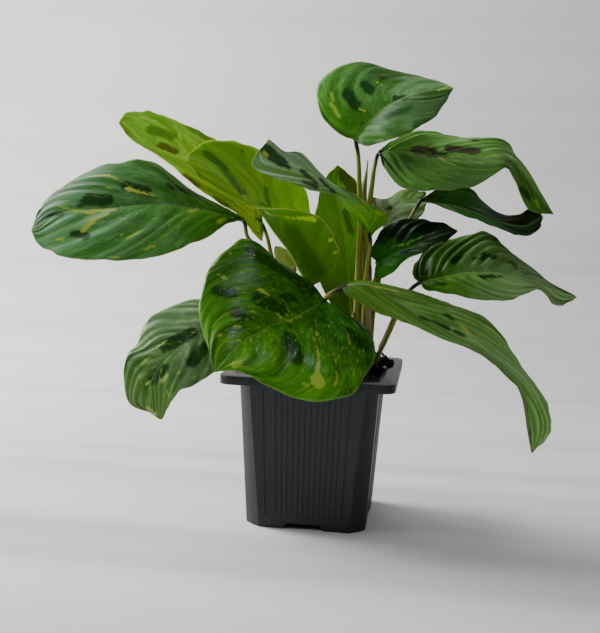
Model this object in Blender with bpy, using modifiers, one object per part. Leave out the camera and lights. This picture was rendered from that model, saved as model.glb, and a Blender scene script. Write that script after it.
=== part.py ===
"""Potted prayer plant: a square nursery pot of soil with leaf blades on petioles.

Sizes are in metres unless a name ends in _MM. +Z is up, the origin is the middle of
the pot's base and the front of the plant looks along -Y. Every piece is its own node.
"""

import math
import random
from dataclasses import dataclass

import bmesh
import bpy
from mathutils import Matrix, Vector

MM = 0.001

# Pot: a tapered square shell with cut corners, a turned-down flange and ribbed sides
POT_HEIGHT = 0.0910
POT_RIM_HALF = 0.0500
POT_RIM_CORNER = 0.0070
POT_TOP_HALF = 0.0404
POT_TOP_CORNER = 0.0067
POT_TOP_Z = 0.0872
POT_MOUTH_HALF = 0.0424
POT_BASE_HALF = 0.0353
POT_BASE_CORNER = 0.0090
POT_WALL = 0.0012
POT_FLOOR = 0.0052
FLARE_HALF = 0.0426
FLANGE_THICK = 0.0017
LIP_DEPTH = 0.0050
LIP_THICK = 0.0014
LIP_ROUND = 0.0006
CORNER_STEPS = 3
CUT_CORNER = 0.2
FLARE_CORNER = 0.6
ROUND_CORNER = 1.0
RIB_COUNT = 12
RIB_PITCH = 0.0035
RIB_WIDTH = 0.0015
RIB_PROUD = 0.00045
RIB_LOW = 0.0080
RIB_HIGH = 0.0835
GROOVE_OFFSET = 0.0252
GROOVE_WIDTH = 0.0012
GROOVE_DEPTH = 0.0005
CUT_OVERRUN = 0.0010
NOTCH_BASE_HALF = 0.0120
NOTCH_TOP_HALF = 0.0095
NOTCH_HEIGHT = 0.0032
NOTCH_DEPTH = 0.0080
DRAIN_RADIUS = 0.0035
DRAIN_OFFSET = 0.0170
DRAIN_SIDES = 16

# Soil: fills the pot with a gap all round and has a lumpy top
SOIL_GAP = 0.0003
SOIL_EDGE_Z = 0.0862
SOIL_CELLS = 16
SOIL_FADE_CELLS = 1.3
SOIL_ROUGH = 0.0007
SOIL_HEAPS_MM = (
    (35.0, 27.0, 10.0, 7.0),
    (36.0, 13.0, 3.0, 6.0),
    (26.0, 8.0, 2.5, 10.0),
    (4.0, -2.0, 3.0, 13.0),
    (-20.0, 14.0, 2.5, 12.0),
    (-16.0, -22.0, 1.5, 9.0),
)
SOIL_RIM_BAND = 0.001
HOLE_FLOOR_Z = 0.0720
HOLE_TOP_Z = 0.1110
HOLE_GAP = 0.00035
HOLE_SIDES = 12

# Blades and petioles
BLADE_THICK = 0.0007
BLADE_ROWS = 16
HALF_COLUMNS = 3
MIDRIB_LAG = 1.2
SLOPE_STEP = 0.02
WAVE_SHIFT = 1.9
SEAT_GAP = 0.0002
PETIOLE_STEPS = 12
PETIOLE_QUARTER_SIDES = 2
PETIOLE_TAIL_MM = (95.0, 85.0)
PETIOLE_FOOT_LIFT = 0.0003
SHEATH_THICK = 0.0006
SHEATH_GAP = 0.00025
SHEATH_ROWS = 8
SHEATH_COLUMNS = 6
SHEATH_TAPER = 0.8
SHEATH_SLOPE_STEP = 0.01
MERGE_DISTANCE = 0.00001
GRID_DIGITS = 6

# Roughness of each finish
LEAF_ROUGHNESS = 0.35
STALK_ROUGHNESS = 0.45
SHEATH_ROUGHNESS = 0.5
POT_ROUGHNESS = 0.45
SOIL_ROUGHNESS = 0.95

PART_NAME = "potted_prayer_plant"
SEED = 11


@dataclass
class Blade:
    """A leaf blade in millimetres: its midrib from base to tip and its two margins.

    arch is the rise of each half between midrib and margin as a share of its width,
    and waves are how often the margins wave along the blade and how high.
    """

    name: str
    midrib: tuple
    left: tuple
    right: tuple
    arch: float
    waves: tuple
    colour: tuple


@dataclass
class Petiole:
    """A leaf stalk in millimetres: its route below the blade, its hole and its radii.

    radius holds the radii at the top, halfway and at the foot, and drop lowers the
    top end further under a blade that is cupped downward there.
    """

    name: str
    route: tuple
    foot: tuple
    radius: tuple
    colour: tuple
    drop: float = 0.0


DARK_GREEN = (0.035, 0.115, 0.030, 1.0)
MID_GREEN = (0.070, 0.190, 0.045, 1.0)
LIGHT_GREEN = (0.230, 0.380, 0.030, 1.0)
OLIVE_GREEN = (0.110, 0.170, 0.040, 1.0)
STEM_GREEN = (0.190, 0.220, 0.045, 1.0)
SHEATH_TAN = (0.400, 0.380, 0.170, 1.0)
ROLL_PALE = (0.480, 0.520, 0.260, 1.0)
POT_GREY = (0.021, 0.023, 0.028, 1.0)
SOIL_BROWN = (0.012, 0.009, 0.007, 1.0)

BLADES = (
    Blade(
        "left",
        midrib=((-44, -17, 178), (-64, -26, 182), (-90, -35, 185), (-117, -42, 182),
                (-145, -47, 178), (-160, -51, 168)),
        left=((-52, -26, 175), (-61, -43, 167), (-79, -57, 159), (-108, -65, 154),
              (-138, -62, 155), (-155, -54, 161)),
        right=((-56, -12, 183), (-79, -8, 195), (-103, -9, 209), (-127, -16, 208),
               (-146, -26, 196), (-158, -39, 183)),
        arch=0.06,
        waves=(3.0, 0.9),
        colour=DARK_GREEN,
    ),
    Blade(
        "upper_left",
        midrib=((-36, 0, 176), (-51, 4, 186), (-68, 10, 199), (-85, 17, 210),
                (-107, 24, 218), (-122, 28, 223), (-136, 33, 234)),
        left=((-35, -5, 165), (-46, -6, 176), (-67, -2, 189), (-88, 4, 203),
              (-109, 14, 216), (-127, 24, 225)),
        right=((-40, 20, 191), (-55, 34, 209), (-77, 43, 226), (-103, 49, 237),
               (-123, 48, 242), (-134, 43, 241)),
        arch=0.05,
        waves=(3.0, 0.7),
        colour=LIGHT_GREEN,
    ),
    Blade(
        "cupped",
        midrib=((-4, -8, 140), (-15, -16, 158), (-27, -21, 175), (-36, -22, 186),
                (-48, -23, 194), (-65, -23, 206), (-78, -21, 211)),
        left=((5, -15, 146), (14, -25, 160), (10, -33, 173), (0, -38, 183), (-17, -40, 186),
              (-36, -36, 186), (-52, -32, 191), (-68, -26, 201)),
        right=((-3, 10, 160), (-9, 21, 182), (-16, 26, 198), (-36, 26, 215), (-57, 20, 224),
               (-72, 6, 223), (-78, -9, 216)),
        arch=-0.06,
        waves=(2.5, 0.8),
        colour=LIGHT_GREEN,
    ),
    Blade(
        "pointed",
        midrib=((29, -1, 171), (27, -11, 185), (17, -20, 194), (4, -28, 202),
                (-10, -34, 210), (-22, -39, 216), (-27, -41, 224)),
        left=((22, -12, 180), (15, -22, 187), (9, -31, 194), (-3, -39, 197), (-14, -44, 200),
              (-24, -47, 203), (-34, -50, 209)),
        right=((37, 2, 179), (38, -4, 184), (29, -9, 189), (18, -14, 195), (9, -17, 200),
               (-3, -22, 210), (-11, -25, 217), (-19, -32, 218)),
        arch=0.0,
        waves=(3.0, 0.7),
        colour=DARK_GREEN,
    ),
    Blade(
        "top",
        midrib=((17, 6, 227), (24, 5, 237), (36, 2, 247), (53, -2, 254), (73, -6, 257)),
        left=((7, 7, 230), (-5, 11, 243), (-7, 17, 261), (12, 24, 273), (40, 23, 269),
              (61, 9, 263)),
        right=((22, -1, 223), (33, -8, 225), (45, -15, 229), (60, -17, 237), (69, -14, 248)),
        arch=0.05,
        waves=(3.5, 0.8),
        colour=MID_GREEN,
    ),
    Blade(
        "right_upper",
        midrib=((31, 10, 220), (46, 11, 221), (67, 12, 219), (89, 12, 219), (107, 14, 219),
                (119, 17, 207), (136, 21, 187)),
        left=((40, 21, 229), (54, 30, 234), (78, 36, 232), (106, 37, 229), (116, 34, 218),
              (127, 29, 201)),
        right=((35, 0, 211), (47, -9, 200), (64, -13, 198), (83, -11, 201), (98, -4, 208),
               (107, 4, 212), (113, 9, 204), (121, 14, 189)),
        arch=0.06,
        waves=(3.5, 1.0),
        colour=MID_GREEN,
    ),
    Blade(
        "right_rear",
        midrib=((57, 23, 193), (74, 29, 191), (91, 35, 187), (108, 40, 181), (121, 44, 179),
                (132, 48, 185)),
        left=((69, 34, 189), (88, 42, 182), (108, 49, 176), (122, 50, 172), (131, 51, 178)),
        right=((68, 16, 200), (84, 18, 202), (97, 23, 190), (104, 29, 186), (116, 39, 186),
               (127, 50, 190)),
        arch=0.0,
        waves=(2.5, 0.6),
        colour=OLIVE_GREEN,
    ),
    Blade(
        "right_inner",
        midrib=((33, 6, 155), (47, 1, 163), (64, -3, 171), (80, -5, 176)),
        left=((29, 7, 160), (32, 10, 171), (43, 11, 179), (57, 9, 182), (71, 4, 180)),
        right=((33, 2, 145), (43, -5, 150), (52, -10, 159), (63, -13, 164), (73, -10, 170)),
        arch=0.05,
        waves=(2.0, 0.5),
        colour=DARK_GREEN,
    ),
    Blade(
        "right",
        midrib=((59, 13, 144), (71, 12, 147), (92, 13, 151), (115, 13, 150), (136, 14, 144),
                (152, 14, 139)),
        left=((54, 16, 147), (58, 27, 158), (78, 37, 170), (97, 39, 174), (114, 35, 163),
              (134, 20, 148)),
        right=((62, 7, 140), (76, -1, 139), (95, -5, 136), (115, -1, 138), (131, 9, 143),
               (140, 12, 133)),
        arch=0.04,
        waves=(3.5, 0.9),
        colour=MID_GREEN,
    ),
    Blade(
        "drooping",
        midrib=((15, -20, 142), (30, -22, 144), (49, -25, 135), (73, -30, 122),
                (97, -31, 112), (117, -31, 93), (128, -28, 53)),
        left=((25, -11, 145), (48, -7, 141), (71, -4, 136), (104, -4, 121), (125, -10, 94),
              (137, -14, 76), (139, -18, 65)),
        right=((19, -26, 137), (36, -34, 130), (59, -41, 123), (83, -45, 116),
               (106, -44, 103), (119, -40, 91), (125, -34, 70)),
        arch=0.04,
        waves=(4.0, 1.0),
        colour=MID_GREEN,
    ),
    Blade(
        "front",
        midrib=((6, -19, 133), (-7, -35, 126), (-22, -53, 120), (-35, -67, 112),
                (-46, -78, 98)),
        left=((18, -18, 126), (33, -22, 117), (37, -32, 105), (33, -48, 95), (26, -58, 85),
              (6, -67, 83), (-15, -74, 90), (-33, -77, 99)),
        right=((-3, -16, 142), (-21, -21, 155), (-43, -27, 167), (-57, -41, 153),
               (-61, -55, 132), (-53, -69, 111)),
        arch=0.07,
        waves=(3.5, 1.2),
        colour=MID_GREEN,
    ),
    Blade(
        "lower_left",
        midrib=((-49, -20, 121), (-64, -32, 112), (-79, -45, 100), (-88, -54, 85),
                (-88, -54, 68)),
        left=((-45, -23, 110), (-51, -36, 94), (-60, -47, 87), (-71, -57, 80), (-76, -57, 74),
              (-80, -56, 65)),
        right=((-57, -13, 128), (-72, -16, 130), (-87, -22, 124), (-98, -31, 116),
               (-101, -40, 104), (-105, -46, 98), (-101, -52, 72)),
        arch=0.06,
        waves=(3.0, 1.2),
        colour=MID_GREEN,
    ),
    Blade(
        "rear",
        midrib=((38, 31, 170), (37, 34, 182), (42, 41, 189), (52, 50, 193), (59, 57, 197)),
        left=((32, 32, 178), (26, 35, 192), (34, 44, 192), (45, 54, 198)),
        right=((46, 29, 175), (57, 37, 182), (60, 47, 190)),
        arch=0.0,
        waves=(2.0, 0.4),
        colour=OLIVE_GREEN,
    ),
    Blade(
        "upright",
        midrib=((19, 16, 112), (16, 24, 136), (11, 31, 166), (5, 37, 190), (4, 39, 212)),
        left=((9, 15, 123), (-2, 18, 140), (-8, 23, 162), (-8, 29, 183), (-3, 34, 204)),
        right=((24, 23, 122), (27, 33, 138), (27, 41, 160), (24, 45, 183), (15, 44, 203)),
        arch=-0.05,
        waves=(2.5, 0.5),
        colour=LIGHT_GREEN,
    ),
    Blade(
        "new",
        midrib=((-15, 0, 148), (-20, 1, 153), (-25, 1, 157), (-28, 2, 162)),
        left=((-19, -4, 149), (-25, -4, 153), (-28, -1, 158)),
        right=((-15, 6, 153), (-20, 8, 159), (-25, 5, 162)),
        arch=0.0,
        waves=(1.0, 0.0),
        colour=LIGHT_GREEN,
    ),
)

PETIOLES = (
    Petiole(
        "left",
        route=((-42, -15, 168), (-37, -13, 162), (-29, -11, 152), (-16, -8, 133), (-4, -5, 108)),
        foot=(-1.0, -3.5),
        radius=(1.1, 1.4, 1.6),
        colour=STEM_GREEN,
    ),
    Petiole(
        "upper_left",
        route=((-33, 2, 167), (-30, 2, 156), (-22, 2, 139), (-9, 3, 114)),
        foot=(-1.0, 4.0),
        radius=(1.1, 1.4, 1.6),
        colour=STEM_GREEN,
        drop=0.5,
    ),
    Petiole(
        "cupped",
        route=((-1, -4, 132), (2, -2, 122), (5, 0, 108)),
        foot=(6.5, 0.5),
        radius=(1.2, 1.5, 1.7),
        colour=STEM_GREEN,
    ),
    Petiole(
        "pointed",
        route=((29, 3, 166), (28, 4, 157), (27, 4, 141), (27, 4, 122)),
        foot=(27.0, 4.0),
        radius=(1.1, 1.5, 1.5),
        colour=STEM_GREEN,
    ),
    Petiole(
        "top",
        route=((19, 8, 218), (21, 8, 194), (22, 9, 182), (22, 9, 150), (22, 9, 122)),
        foot=(22.0, 8.6),
        radius=(1.1, 2.0, 2.3),
        colour=STEM_GREEN,
    ),
    Petiole(
        "right_upper",
        route=((29, 9, 211), (28, 9, 201), (27, 9, 189), (27, 9, 168), (28, 9, 150),
               (28, 9, 122)),
        foot=(28.0, 9.1),
        radius=(1.1, 2.0, 2.3),
        colour=STEM_GREEN,
    ),
    Petiole(
        "right_rear",
        route=((55, 23, 189), (52, 22, 183), (44, 21, 168), (35, 21, 152), (31, 21, 132)),
        foot=(30.0, 21.0),
        radius=(1.1, 1.4, 1.5),
        colour=STEM_GREEN,
    ),
    Petiole(
        "right_inner",
        route=((35, 12, 148), (34, 15, 141), (32, 16, 128)),
        foot=(31.0, 15.0),
        radius=(1.0, 1.4, 1.5),
        colour=STEM_GREEN,
    ),
    Petiole(
        "right",
        route=((56, 14, 141), (53, 13, 138), (48, 13, 130), (45, 12, 120), (40, 12, 107)),
        foot=(35.2, 11.5),
        radius=(1.1, 1.5, 1.7),
        colour=STEM_GREEN,
    ),
    Petiole(
        "drooping",
        route=((10, -17, 138), (5, -12, 133), (3, -9, 121), (5, -7, 108)),
        foot=(5.5, -7.0),
        radius=(1.4, 1.5, 1.7),
        colour=STEM_GREEN,
    ),
    Petiole(
        "front",
        route=((8, -12, 123), (11, -6, 108)),
        foot=(12.0, -5.5),
        radius=(1.2, 1.5, 1.7),
        colour=STEM_GREEN,
        drop=0.2,
    ),
    Petiole(
        "lower_left",
        route=((-41, -14, 117), (-25, -10, 111), (-12, -8, 104)),
        foot=(-7.0, -7.0),
        radius=(1.1, 1.3, 1.5),
        colour=STEM_GREEN,
        drop=0.2,
    ),
    Petiole(
        "rear",
        route=((37, 30, 163), (33, 28, 148), (27, 23, 128)),
        foot=(24.0, 21.0),
        radius=(1.0, 1.3, 1.4),
        colour=STEM_GREEN,
    ),
    Petiole(
        "upright",
        route=((18, 14, 108),),
        foot=(17.5, 13.0),
        radius=(1.3, 1.5, 1.6),
        colour=STEM_GREEN,
        drop=0.3,
    ),
    Petiole(
        "new",
        route=((-11, 3, 141), (-5, 5, 127), (2, 7, 109)),
        foot=(5.0, 8.0),
        radius=(0.8, 1.0, 1.1),
        colour=STEM_GREEN,
    ),
)

# Rolled young leaf: route from its tip down, hole and radii, in millimetres
ROLL_ROUTE_MM = ((24.5, 13, 215), (24, 13, 208), (23, 13, 196), (24, 14, 176), (25, 14.5, 150))
ROLL_FOOT_MM = (25.0, 14.5)
ROLL_RADIUS_MM = (0.4, 2.2, 2.4, 1.8, 1.6)

# Sheaths: petiole, share of its length from the foot at which they start and end,
# direction they face in degrees about +Z and half their spread in degrees
SHEATHS = (
    ("right", 0.36, 0.62, 180.0, 75.0),
    ("top", 0.20, 0.36, 215.0, 100.0),
    ("left", 0.62, 0.84, 70.0, 80.0),
    ("right_upper", 0.20, 0.50, 300.0, 60.0),
)


def clear_scene():
    """Remove everything that a new file holds."""
    for item in list(bpy.data.objects):
        bpy.data.objects.remove(item, do_unlink=True)


def make_collection(name):
    """Return a new collection linked to the scene."""
    group = bpy.data.collections.new(name)
    bpy.context.scene.collection.children.link(group)
    return group


def make_material(name, colour, roughness):
    """Return a plain Principled material."""
    material = bpy.data.materials.new(name)
    material.use_nodes = True
    shader = material.node_tree.nodes["Principled BSDF"]
    shader.inputs["Base Color"].default_value = colour
    shader.inputs["Roughness"].default_value = roughness
    material.diffuse_color = colour
    return material


def make_object(name, mesh, group, material=None):
    """Link a mesh as an object of its own."""
    item = bpy.data.objects.new(name, mesh)
    group.objects.link(item)
    if material is not None:
        mesh.materials.append(material)
    return item


def finish_mesh(name, shape, smooth=False):
    """Write a bmesh to a new mesh with its normals outward."""
    bmesh.ops.recalc_face_normals(shape, faces=shape.faces)
    for face in shape.faces:
        face.smooth = smooth
    mesh = bpy.data.meshes.new(name)
    shape.to_mesh(mesh)
    shape.free()
    return mesh


def add_boolean(item, cutter, operation):
    """Join or cut an object with another through a live exact Boolean."""
    step = item.modifiers.new(cutter.name, "BOOLEAN")
    step.operation = operation
    step.solver = "EXACT"
    step.object = cutter


def hide_cutter(item):
    """Keep a cutter out of the build."""
    item.hide_render = True
    item.display_type = "WIRE"


def spline(points, share):
    """Return the place at a share of a smooth curve through points.

    Knots are spaced by the square root of the chords, so that close points give
    a tight bend without loops.
    """
    knots = [0.0]
    for start, end in zip(points, points[1:]):
        knots.append(knots[-1] + math.sqrt((end - start).length))
    place = share * knots[-1]
    last = len(points) - 2
    index = 0
    while index < last and place >= knots[index + 1]:
        index += 1
    span = knots[index + 1] - knots[index]
    step = (place - knots[index]) / span
    leave = spline_slope(points, knots, index)
    arrive = spline_slope(points, knots, index + 1)
    square = step * step
    cube = square * step
    return (
        points[index] * (2 * cube - 3 * square + 1)
        + leave * (span * (cube - 2 * square + step))
        + points[index + 1] * (3 * square - 2 * cube)
        + arrive * (span * (cube - square))
    )


def spline_slope(points, knots, index):
    """Return the slope of the curve at one of its points."""
    final = len(points) - 1
    if index == 0:
        return (points[1] - points[0]) / (knots[1] - knots[0])
    if index == final:
        return (points[final] - points[final - 1]) / (knots[final] - knots[final - 1])
    before = knots[index] - knots[index - 1]
    after = knots[index + 1] - knots[index]
    back = (points[index] - points[index - 1]) / before
    front = (points[index + 1] - points[index]) / after
    return (back * after + front * before) / (before + after)


def radius_at(radii, share):
    """Return the radius at a share of a tube whose radii are spaced evenly along it."""
    place = share * (len(radii) - 1)
    index = min(int(place), len(radii) - 2)
    step = place - index
    ease = step * step * (3.0 - 2.0 * step)
    return radii[index] + (radii[index + 1] - radii[index]) * ease


def to_metres(points):
    """Turn millimetre tuples into vectors in metres."""
    return [Vector(point) * MM for point in points]


def blade_lines(blade):
    """Return the midrib and the two whole margins of a blade in metres."""
    midrib = to_metres(blade.midrib)
    left = [midrib[0]] + to_metres(blade.left) + [midrib[-1]]
    right = [midrib[0]] + to_metres(blade.right) + [midrib[-1]]
    return midrib, left, right


def blade_normal(blade):
    """Return the direction of a blade's upper side at its base."""
    midrib, left, right = blade_lines(blade)
    along = midrib[1] - midrib[0]
    across = left[1] - right[1]
    return along.cross(across).normalized()


def blade_point(lines, arch, waves, along, across):
    """Return a place on a blade's middle surface.

    along runs from 0 at the base to 1 at the tip and across from -1 at the
    right margin to 1 at the left margin.
    """
    midrib, left, right = lines
    lag = along ** MIDRIB_LAG
    rib = spline(midrib, lag)
    if across == 0.0:
        return rib
    left_edge = spline(left, along)
    right_edge = spline(right, along)
    ahead = spline(midrib, min(lag + SLOPE_STEP, 1.0))
    behind = spline(midrib, max(lag - SLOPE_STEP, 0.0))
    normal = (ahead - behind).cross(left_edge - right_edge)
    if normal.length > 0.0:
        normal.normalize()
    side = (left_edge if across > 0.0 else right_edge) - rib
    share = abs(across)
    bulge = arch * side.length * 4.0 * share * (1.0 - share)
    count, height = waves
    phase = 2.0 * math.pi * count * along + (WAVE_SHIFT if across > 0.0 else 0.0)
    ripple = height * MM * math.sin(phase) * math.sin(math.pi * along) * share * share
    return rib + side * share + normal * (bulge + ripple)


def build_blade(blade, group):
    """Build one blade as a grid laid on its curves, thickened to both sides."""
    shape = bmesh.new()
    columns = 2 * HALF_COLUMNS
    bmesh.ops.create_grid(shape, x_segments=BLADE_ROWS, y_segments=columns, size=1.0)
    lines = blade_lines(blade)
    for vertex in shape.verts:
        along = (vertex.co.x + 1.0) / 2.0
        across = round(vertex.co.y, GRID_DIGITS)
        along = min(max(along, 0.0), 1.0)
        vertex.co = blade_point(lines, blade.arch, blade.waves, along, across)
    bmesh.ops.remove_doubles(shape, verts=shape.verts, dist=MERGE_DISTANCE)
    bmesh.ops.triangulate(shape, faces=shape.faces, quad_method="FIXED")
    mesh = finish_mesh("blade_" + blade.name, shape, smooth=True)
    material = make_material("leaf_" + blade.name, blade.colour, LEAF_ROUGHNESS)
    item = make_object("blade_" + blade.name, mesh, group, material)
    thicken = item.modifiers.new("thickness", "SOLIDIFY")
    thicken.thickness = BLADE_THICK
    thicken.offset = 0.0
    return item


def petiole_line(petiole, blade):
    """Return a petiole's points in metres from just under its blade to its foot."""
    route = to_metres(petiole.route)
    base = Vector(blade.midrib[0]) * MM
    normal = blade_normal(blade)
    end_radius = petiole.radius[0] * MM
    heading = (base - route[0]).normalized()
    tilt = math.sqrt(max(0.0, 1.0 - heading.dot(normal) ** 2))
    reach = BLADE_THICK / 2 + SEAT_GAP + end_radius * tilt + petiole.drop * MM
    start = base - normal * reach
    tail = [Vector((petiole.foot[0], petiole.foot[1], z)) * MM for z in PETIOLE_TAIL_MM]
    foot = Vector((petiole.foot[0] * MM, petiole.foot[1] * MM, HOLE_FLOOR_Z + PETIOLE_FOOT_LIFT))
    return [start] + route + tail + [foot]


def tube(name, line, radii, group, material):
    """Build a round tapered tube along a smooth line, capped at both ends."""
    curve = bpy.data.curves.new(name, "CURVE")
    curve.dimensions = "3D"
    curve.bevel_depth = 1.0
    curve.bevel_resolution = PETIOLE_QUARTER_SIDES
    curve.use_fill_caps = True
    path = curve.splines.new("POLY")
    path.points.add(PETIOLE_STEPS)
    for index, point in enumerate(path.points):
        share = index / PETIOLE_STEPS
        place = spline(line, share)
        point.co = (place.x, place.y, place.z, 1.0)
        point.radius = radius_at(radii, share)
    wire = bpy.data.objects.new(name, curve)
    mesh = bpy.data.meshes.new_from_object(wire)
    bpy.data.objects.remove(wire)
    bpy.data.curves.remove(curve)
    shape = bmesh.new()
    shape.from_mesh(mesh)
    bpy.data.meshes.remove(mesh)
    bmesh.ops.remove_doubles(shape, verts=shape.verts, dist=MERGE_DISTANCE)
    return make_object(name, finish_mesh(name, shape, smooth=True), group, material)


def build_petiole(petiole, blade, group):
    """Build a petiole from under its blade down into its hole."""
    material = make_material("stalk_" + petiole.name, petiole.colour, STALK_ROUGHNESS)
    line = petiole_line(petiole, blade)
    radii = [radius * MM for radius in petiole.radius]
    return tube("petiole_" + petiole.name, line, radii, group, material)


def build_roll(group):
    """Build the young leaf that is still rolled up."""
    material = make_material("rolled_leaf", ROLL_PALE, STALK_ROUGHNESS)
    line = to_metres(ROLL_ROUTE_MM)
    line += [Vector((ROLL_FOOT_MM[0], ROLL_FOOT_MM[1], z)) * MM for z in PETIOLE_TAIL_MM]
    foot_z = HOLE_FLOOR_Z + PETIOLE_FOOT_LIFT
    line.append(Vector((ROLL_FOOT_MM[0] * MM, ROLL_FOOT_MM[1] * MM, foot_z)))
    radii = [radius * MM for radius in ROLL_RADIUS_MM]
    return tube("rolled_leaf", line, radii, group, material)


def build_sheath(entry, petiole, blade, group):
    """Build a sheath as an open shell that wraps a stretch of a petiole."""
    name, start, end, facing, spread = entry
    line = petiole_line(petiole, blade)
    radii = [radius * MM for radius in petiole.radius]
    shape = bmesh.new()
    bmesh.ops.create_grid(shape, x_segments=SHEATH_ROWS, y_segments=SHEATH_COLUMNS, size=1.0)
    for vertex in shape.verts:
        height = (vertex.co.x + 1.0) / 2.0
        share = 1.0 - (start + (end - start) * height)
        centre = spline(line, share)
        above = spline(line, share - SHEATH_SLOPE_STEP)
        below = spline(line, share + SHEATH_SLOPE_STEP)
        along = (above - below).normalized()
        reach = radius_at(radii, share) + SHEATH_GAP + SHEATH_THICK / 2
        opening = math.radians(spread) * (1.0 - SHEATH_TAPER * height ** 2)
        angle = math.radians(facing) + opening * vertex.co.y
        outward = Vector((math.cos(angle), math.sin(angle), 0.0))
        outward = (outward - along * outward.dot(along)).normalized()
        vertex.co = centre + outward * reach
    bmesh.ops.triangulate(shape, faces=shape.faces, quad_method="FIXED")
    mesh = finish_mesh("sheath_" + name, shape, smooth=True)
    material = make_material("sheath_" + name, SHEATH_TAN, SHEATH_ROUGHNESS)
    item = make_object("sheath_" + name, mesh, group, material)
    thicken = item.modifiers.new("thickness", "SOLIDIFY")
    thicken.thickness = SHEATH_THICK
    thicken.offset = 0.0
    return item


def ring_places(half, corner, round_share, z):
    """Return the places of a square with cut or rounded corners, by angle about +Z.

    round_share blends each corner from a flat cut at 0 to an arc at 1.
    """
    places = []
    inner = half - corner
    for turn in range(4):
        matrix = Matrix.Rotation(turn * math.pi / 2, 3, "Z")
        for step in range(CORNER_STEPS + 1):
            share = step / CORNER_STEPS
            angle = share * math.pi / 2
            flat = Vector((-half + share * corner, -inner - share * corner, z))
            arc = Vector((-inner - corner * math.cos(angle), -inner - corner * math.sin(angle), z))
            places.append(matrix @ flat.lerp(arc, round_share))
    return places


def wall_half(z):
    """Return the outer half width of the pot's wall at a height."""
    return POT_BASE_HALF + (POT_TOP_HALF - POT_BASE_HALF) * z / POT_TOP_Z


def wall_corner(z):
    """Return the size of the wall's cut corners at a height."""
    return POT_BASE_CORNER + (POT_TOP_CORNER - POT_BASE_CORNER) * z / POT_TOP_Z


def pot_rings():
    """Return half width, corner, roundness and height from the outer base to the inner floor."""
    under = POT_HEIGHT - FLANGE_THICK
    low = POT_HEIGHT - LIP_DEPTH
    lip_half = POT_RIM_HALF - LIP_THICK
    lip_corner = POT_RIM_CORNER - LIP_THICK / 2
    inner_top = wall_half(POT_TOP_Z) - POT_WALL
    inner_floor = wall_half(POT_FLOOR) - POT_WALL
    return (
        (POT_BASE_HALF, POT_BASE_CORNER, CUT_CORNER, 0.0),
        (POT_TOP_HALF, POT_TOP_CORNER, CUT_CORNER, POT_TOP_Z),
        (FLARE_HALF, POT_TOP_CORNER, FLARE_CORNER, under),
        (lip_half, lip_corner, ROUND_CORNER, under),
        (lip_half, lip_corner, ROUND_CORNER, low),
        (POT_RIM_HALF, POT_RIM_CORNER, ROUND_CORNER, low),
        (POT_RIM_HALF, POT_RIM_CORNER, ROUND_CORNER, POT_HEIGHT - LIP_ROUND),
        (POT_RIM_HALF - LIP_ROUND, POT_RIM_CORNER - LIP_ROUND / 2, ROUND_CORNER, POT_HEIGHT),
        (POT_MOUTH_HALF + LIP_ROUND, POT_TOP_CORNER, ROUND_CORNER, POT_HEIGHT),
        (POT_MOUTH_HALF, POT_TOP_CORNER, ROUND_CORNER, POT_HEIGHT - LIP_ROUND),
        (inner_top, POT_TOP_CORNER, CUT_CORNER, POT_TOP_Z),
        (inner_floor, POT_BASE_CORNER, CUT_CORNER, POT_FLOOR),
    )


def build_shell():
    """Return a mesh of the plain pot shell, drawn ring after ring from its base."""
    shape = bmesh.new()
    rings = [ring_places(*ring) for ring in pot_rings()]
    count = len(rings[0])
    base = bmesh.ops.create_circle(shape, cap_ends=True, segments=count, radius=1.0)["verts"]
    base.sort(key=lambda vertex: math.atan2(vertex.co.y, vertex.co.x))
    for vertex, place in zip(base, rings[0]):
        vertex.co = place
    border = list(shape.edges)
    for old_places, new_places in zip(rings, rings[1:]):
        grown = bmesh.ops.extrude_edge_only(shape, edges=border)["geom"]
        border = [piece for piece in grown if isinstance(piece, bmesh.types.BMEdge)]
        for vertex in (piece for piece in grown if isinstance(piece, bmesh.types.BMVert)):
            nearest = min(range(count), key=lambda index: (old_places[index] - vertex.co).length)
            vertex.co = new_places[nearest]
    bmesh.ops.contextual_create(shape, geom=border)
    return finish_mesh("pot", shape)


def wall_bar(shape, centre, width, inward, outward, turn):
    """Add one straight bar that follows the slope of a pot wall."""
    matrix = Matrix.Rotation(turn, 4, "Z")
    for vertex in bmesh.ops.create_cube(shape, size=1.0)["verts"]:
        z = RIB_HIGH if vertex.co.z > 0.0 else RIB_LOW
        shrink = wall_half(z) / POT_TOP_HALF
        x = centre * shrink + vertex.co.x * width
        y = -wall_half(z) + (inward if vertex.co.y > 0.0 else -outward)
        vertex.co = matrix @ Vector((x, y, z))


def build_ribs(group):
    """Build the ribs of all four sides as one set of bars sunk into the walls."""
    shape = bmesh.new()
    for side in range(4):
        for index in range(RIB_COUNT):
            centre = (index - (RIB_COUNT - 1) / 2) * RIB_PITCH
            turn = side * math.pi / 2
            wall_bar(shape, centre, RIB_WIDTH, POT_WALL / 2, RIB_PROUD, turn)
    item = make_object("pot_ribs", finish_mesh("pot_ribs", shape), group)
    hide_cutter(item)
    return item


def build_grooves(group):
    """Build the cutters of the two deeper grooves beside the ribs on each side."""
    shape = bmesh.new()
    for side in range(4):
        for sign in (-1, 1):
            turn = side * math.pi / 2
            centre = sign * GROOVE_OFFSET
            wall_bar(shape, centre, GROOVE_WIDTH, GROOVE_DEPTH, CUT_OVERRUN, turn)
    item = make_object("pot_grooves", finish_mesh("pot_grooves", shape), group)
    hide_cutter(item)
    return item


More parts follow.
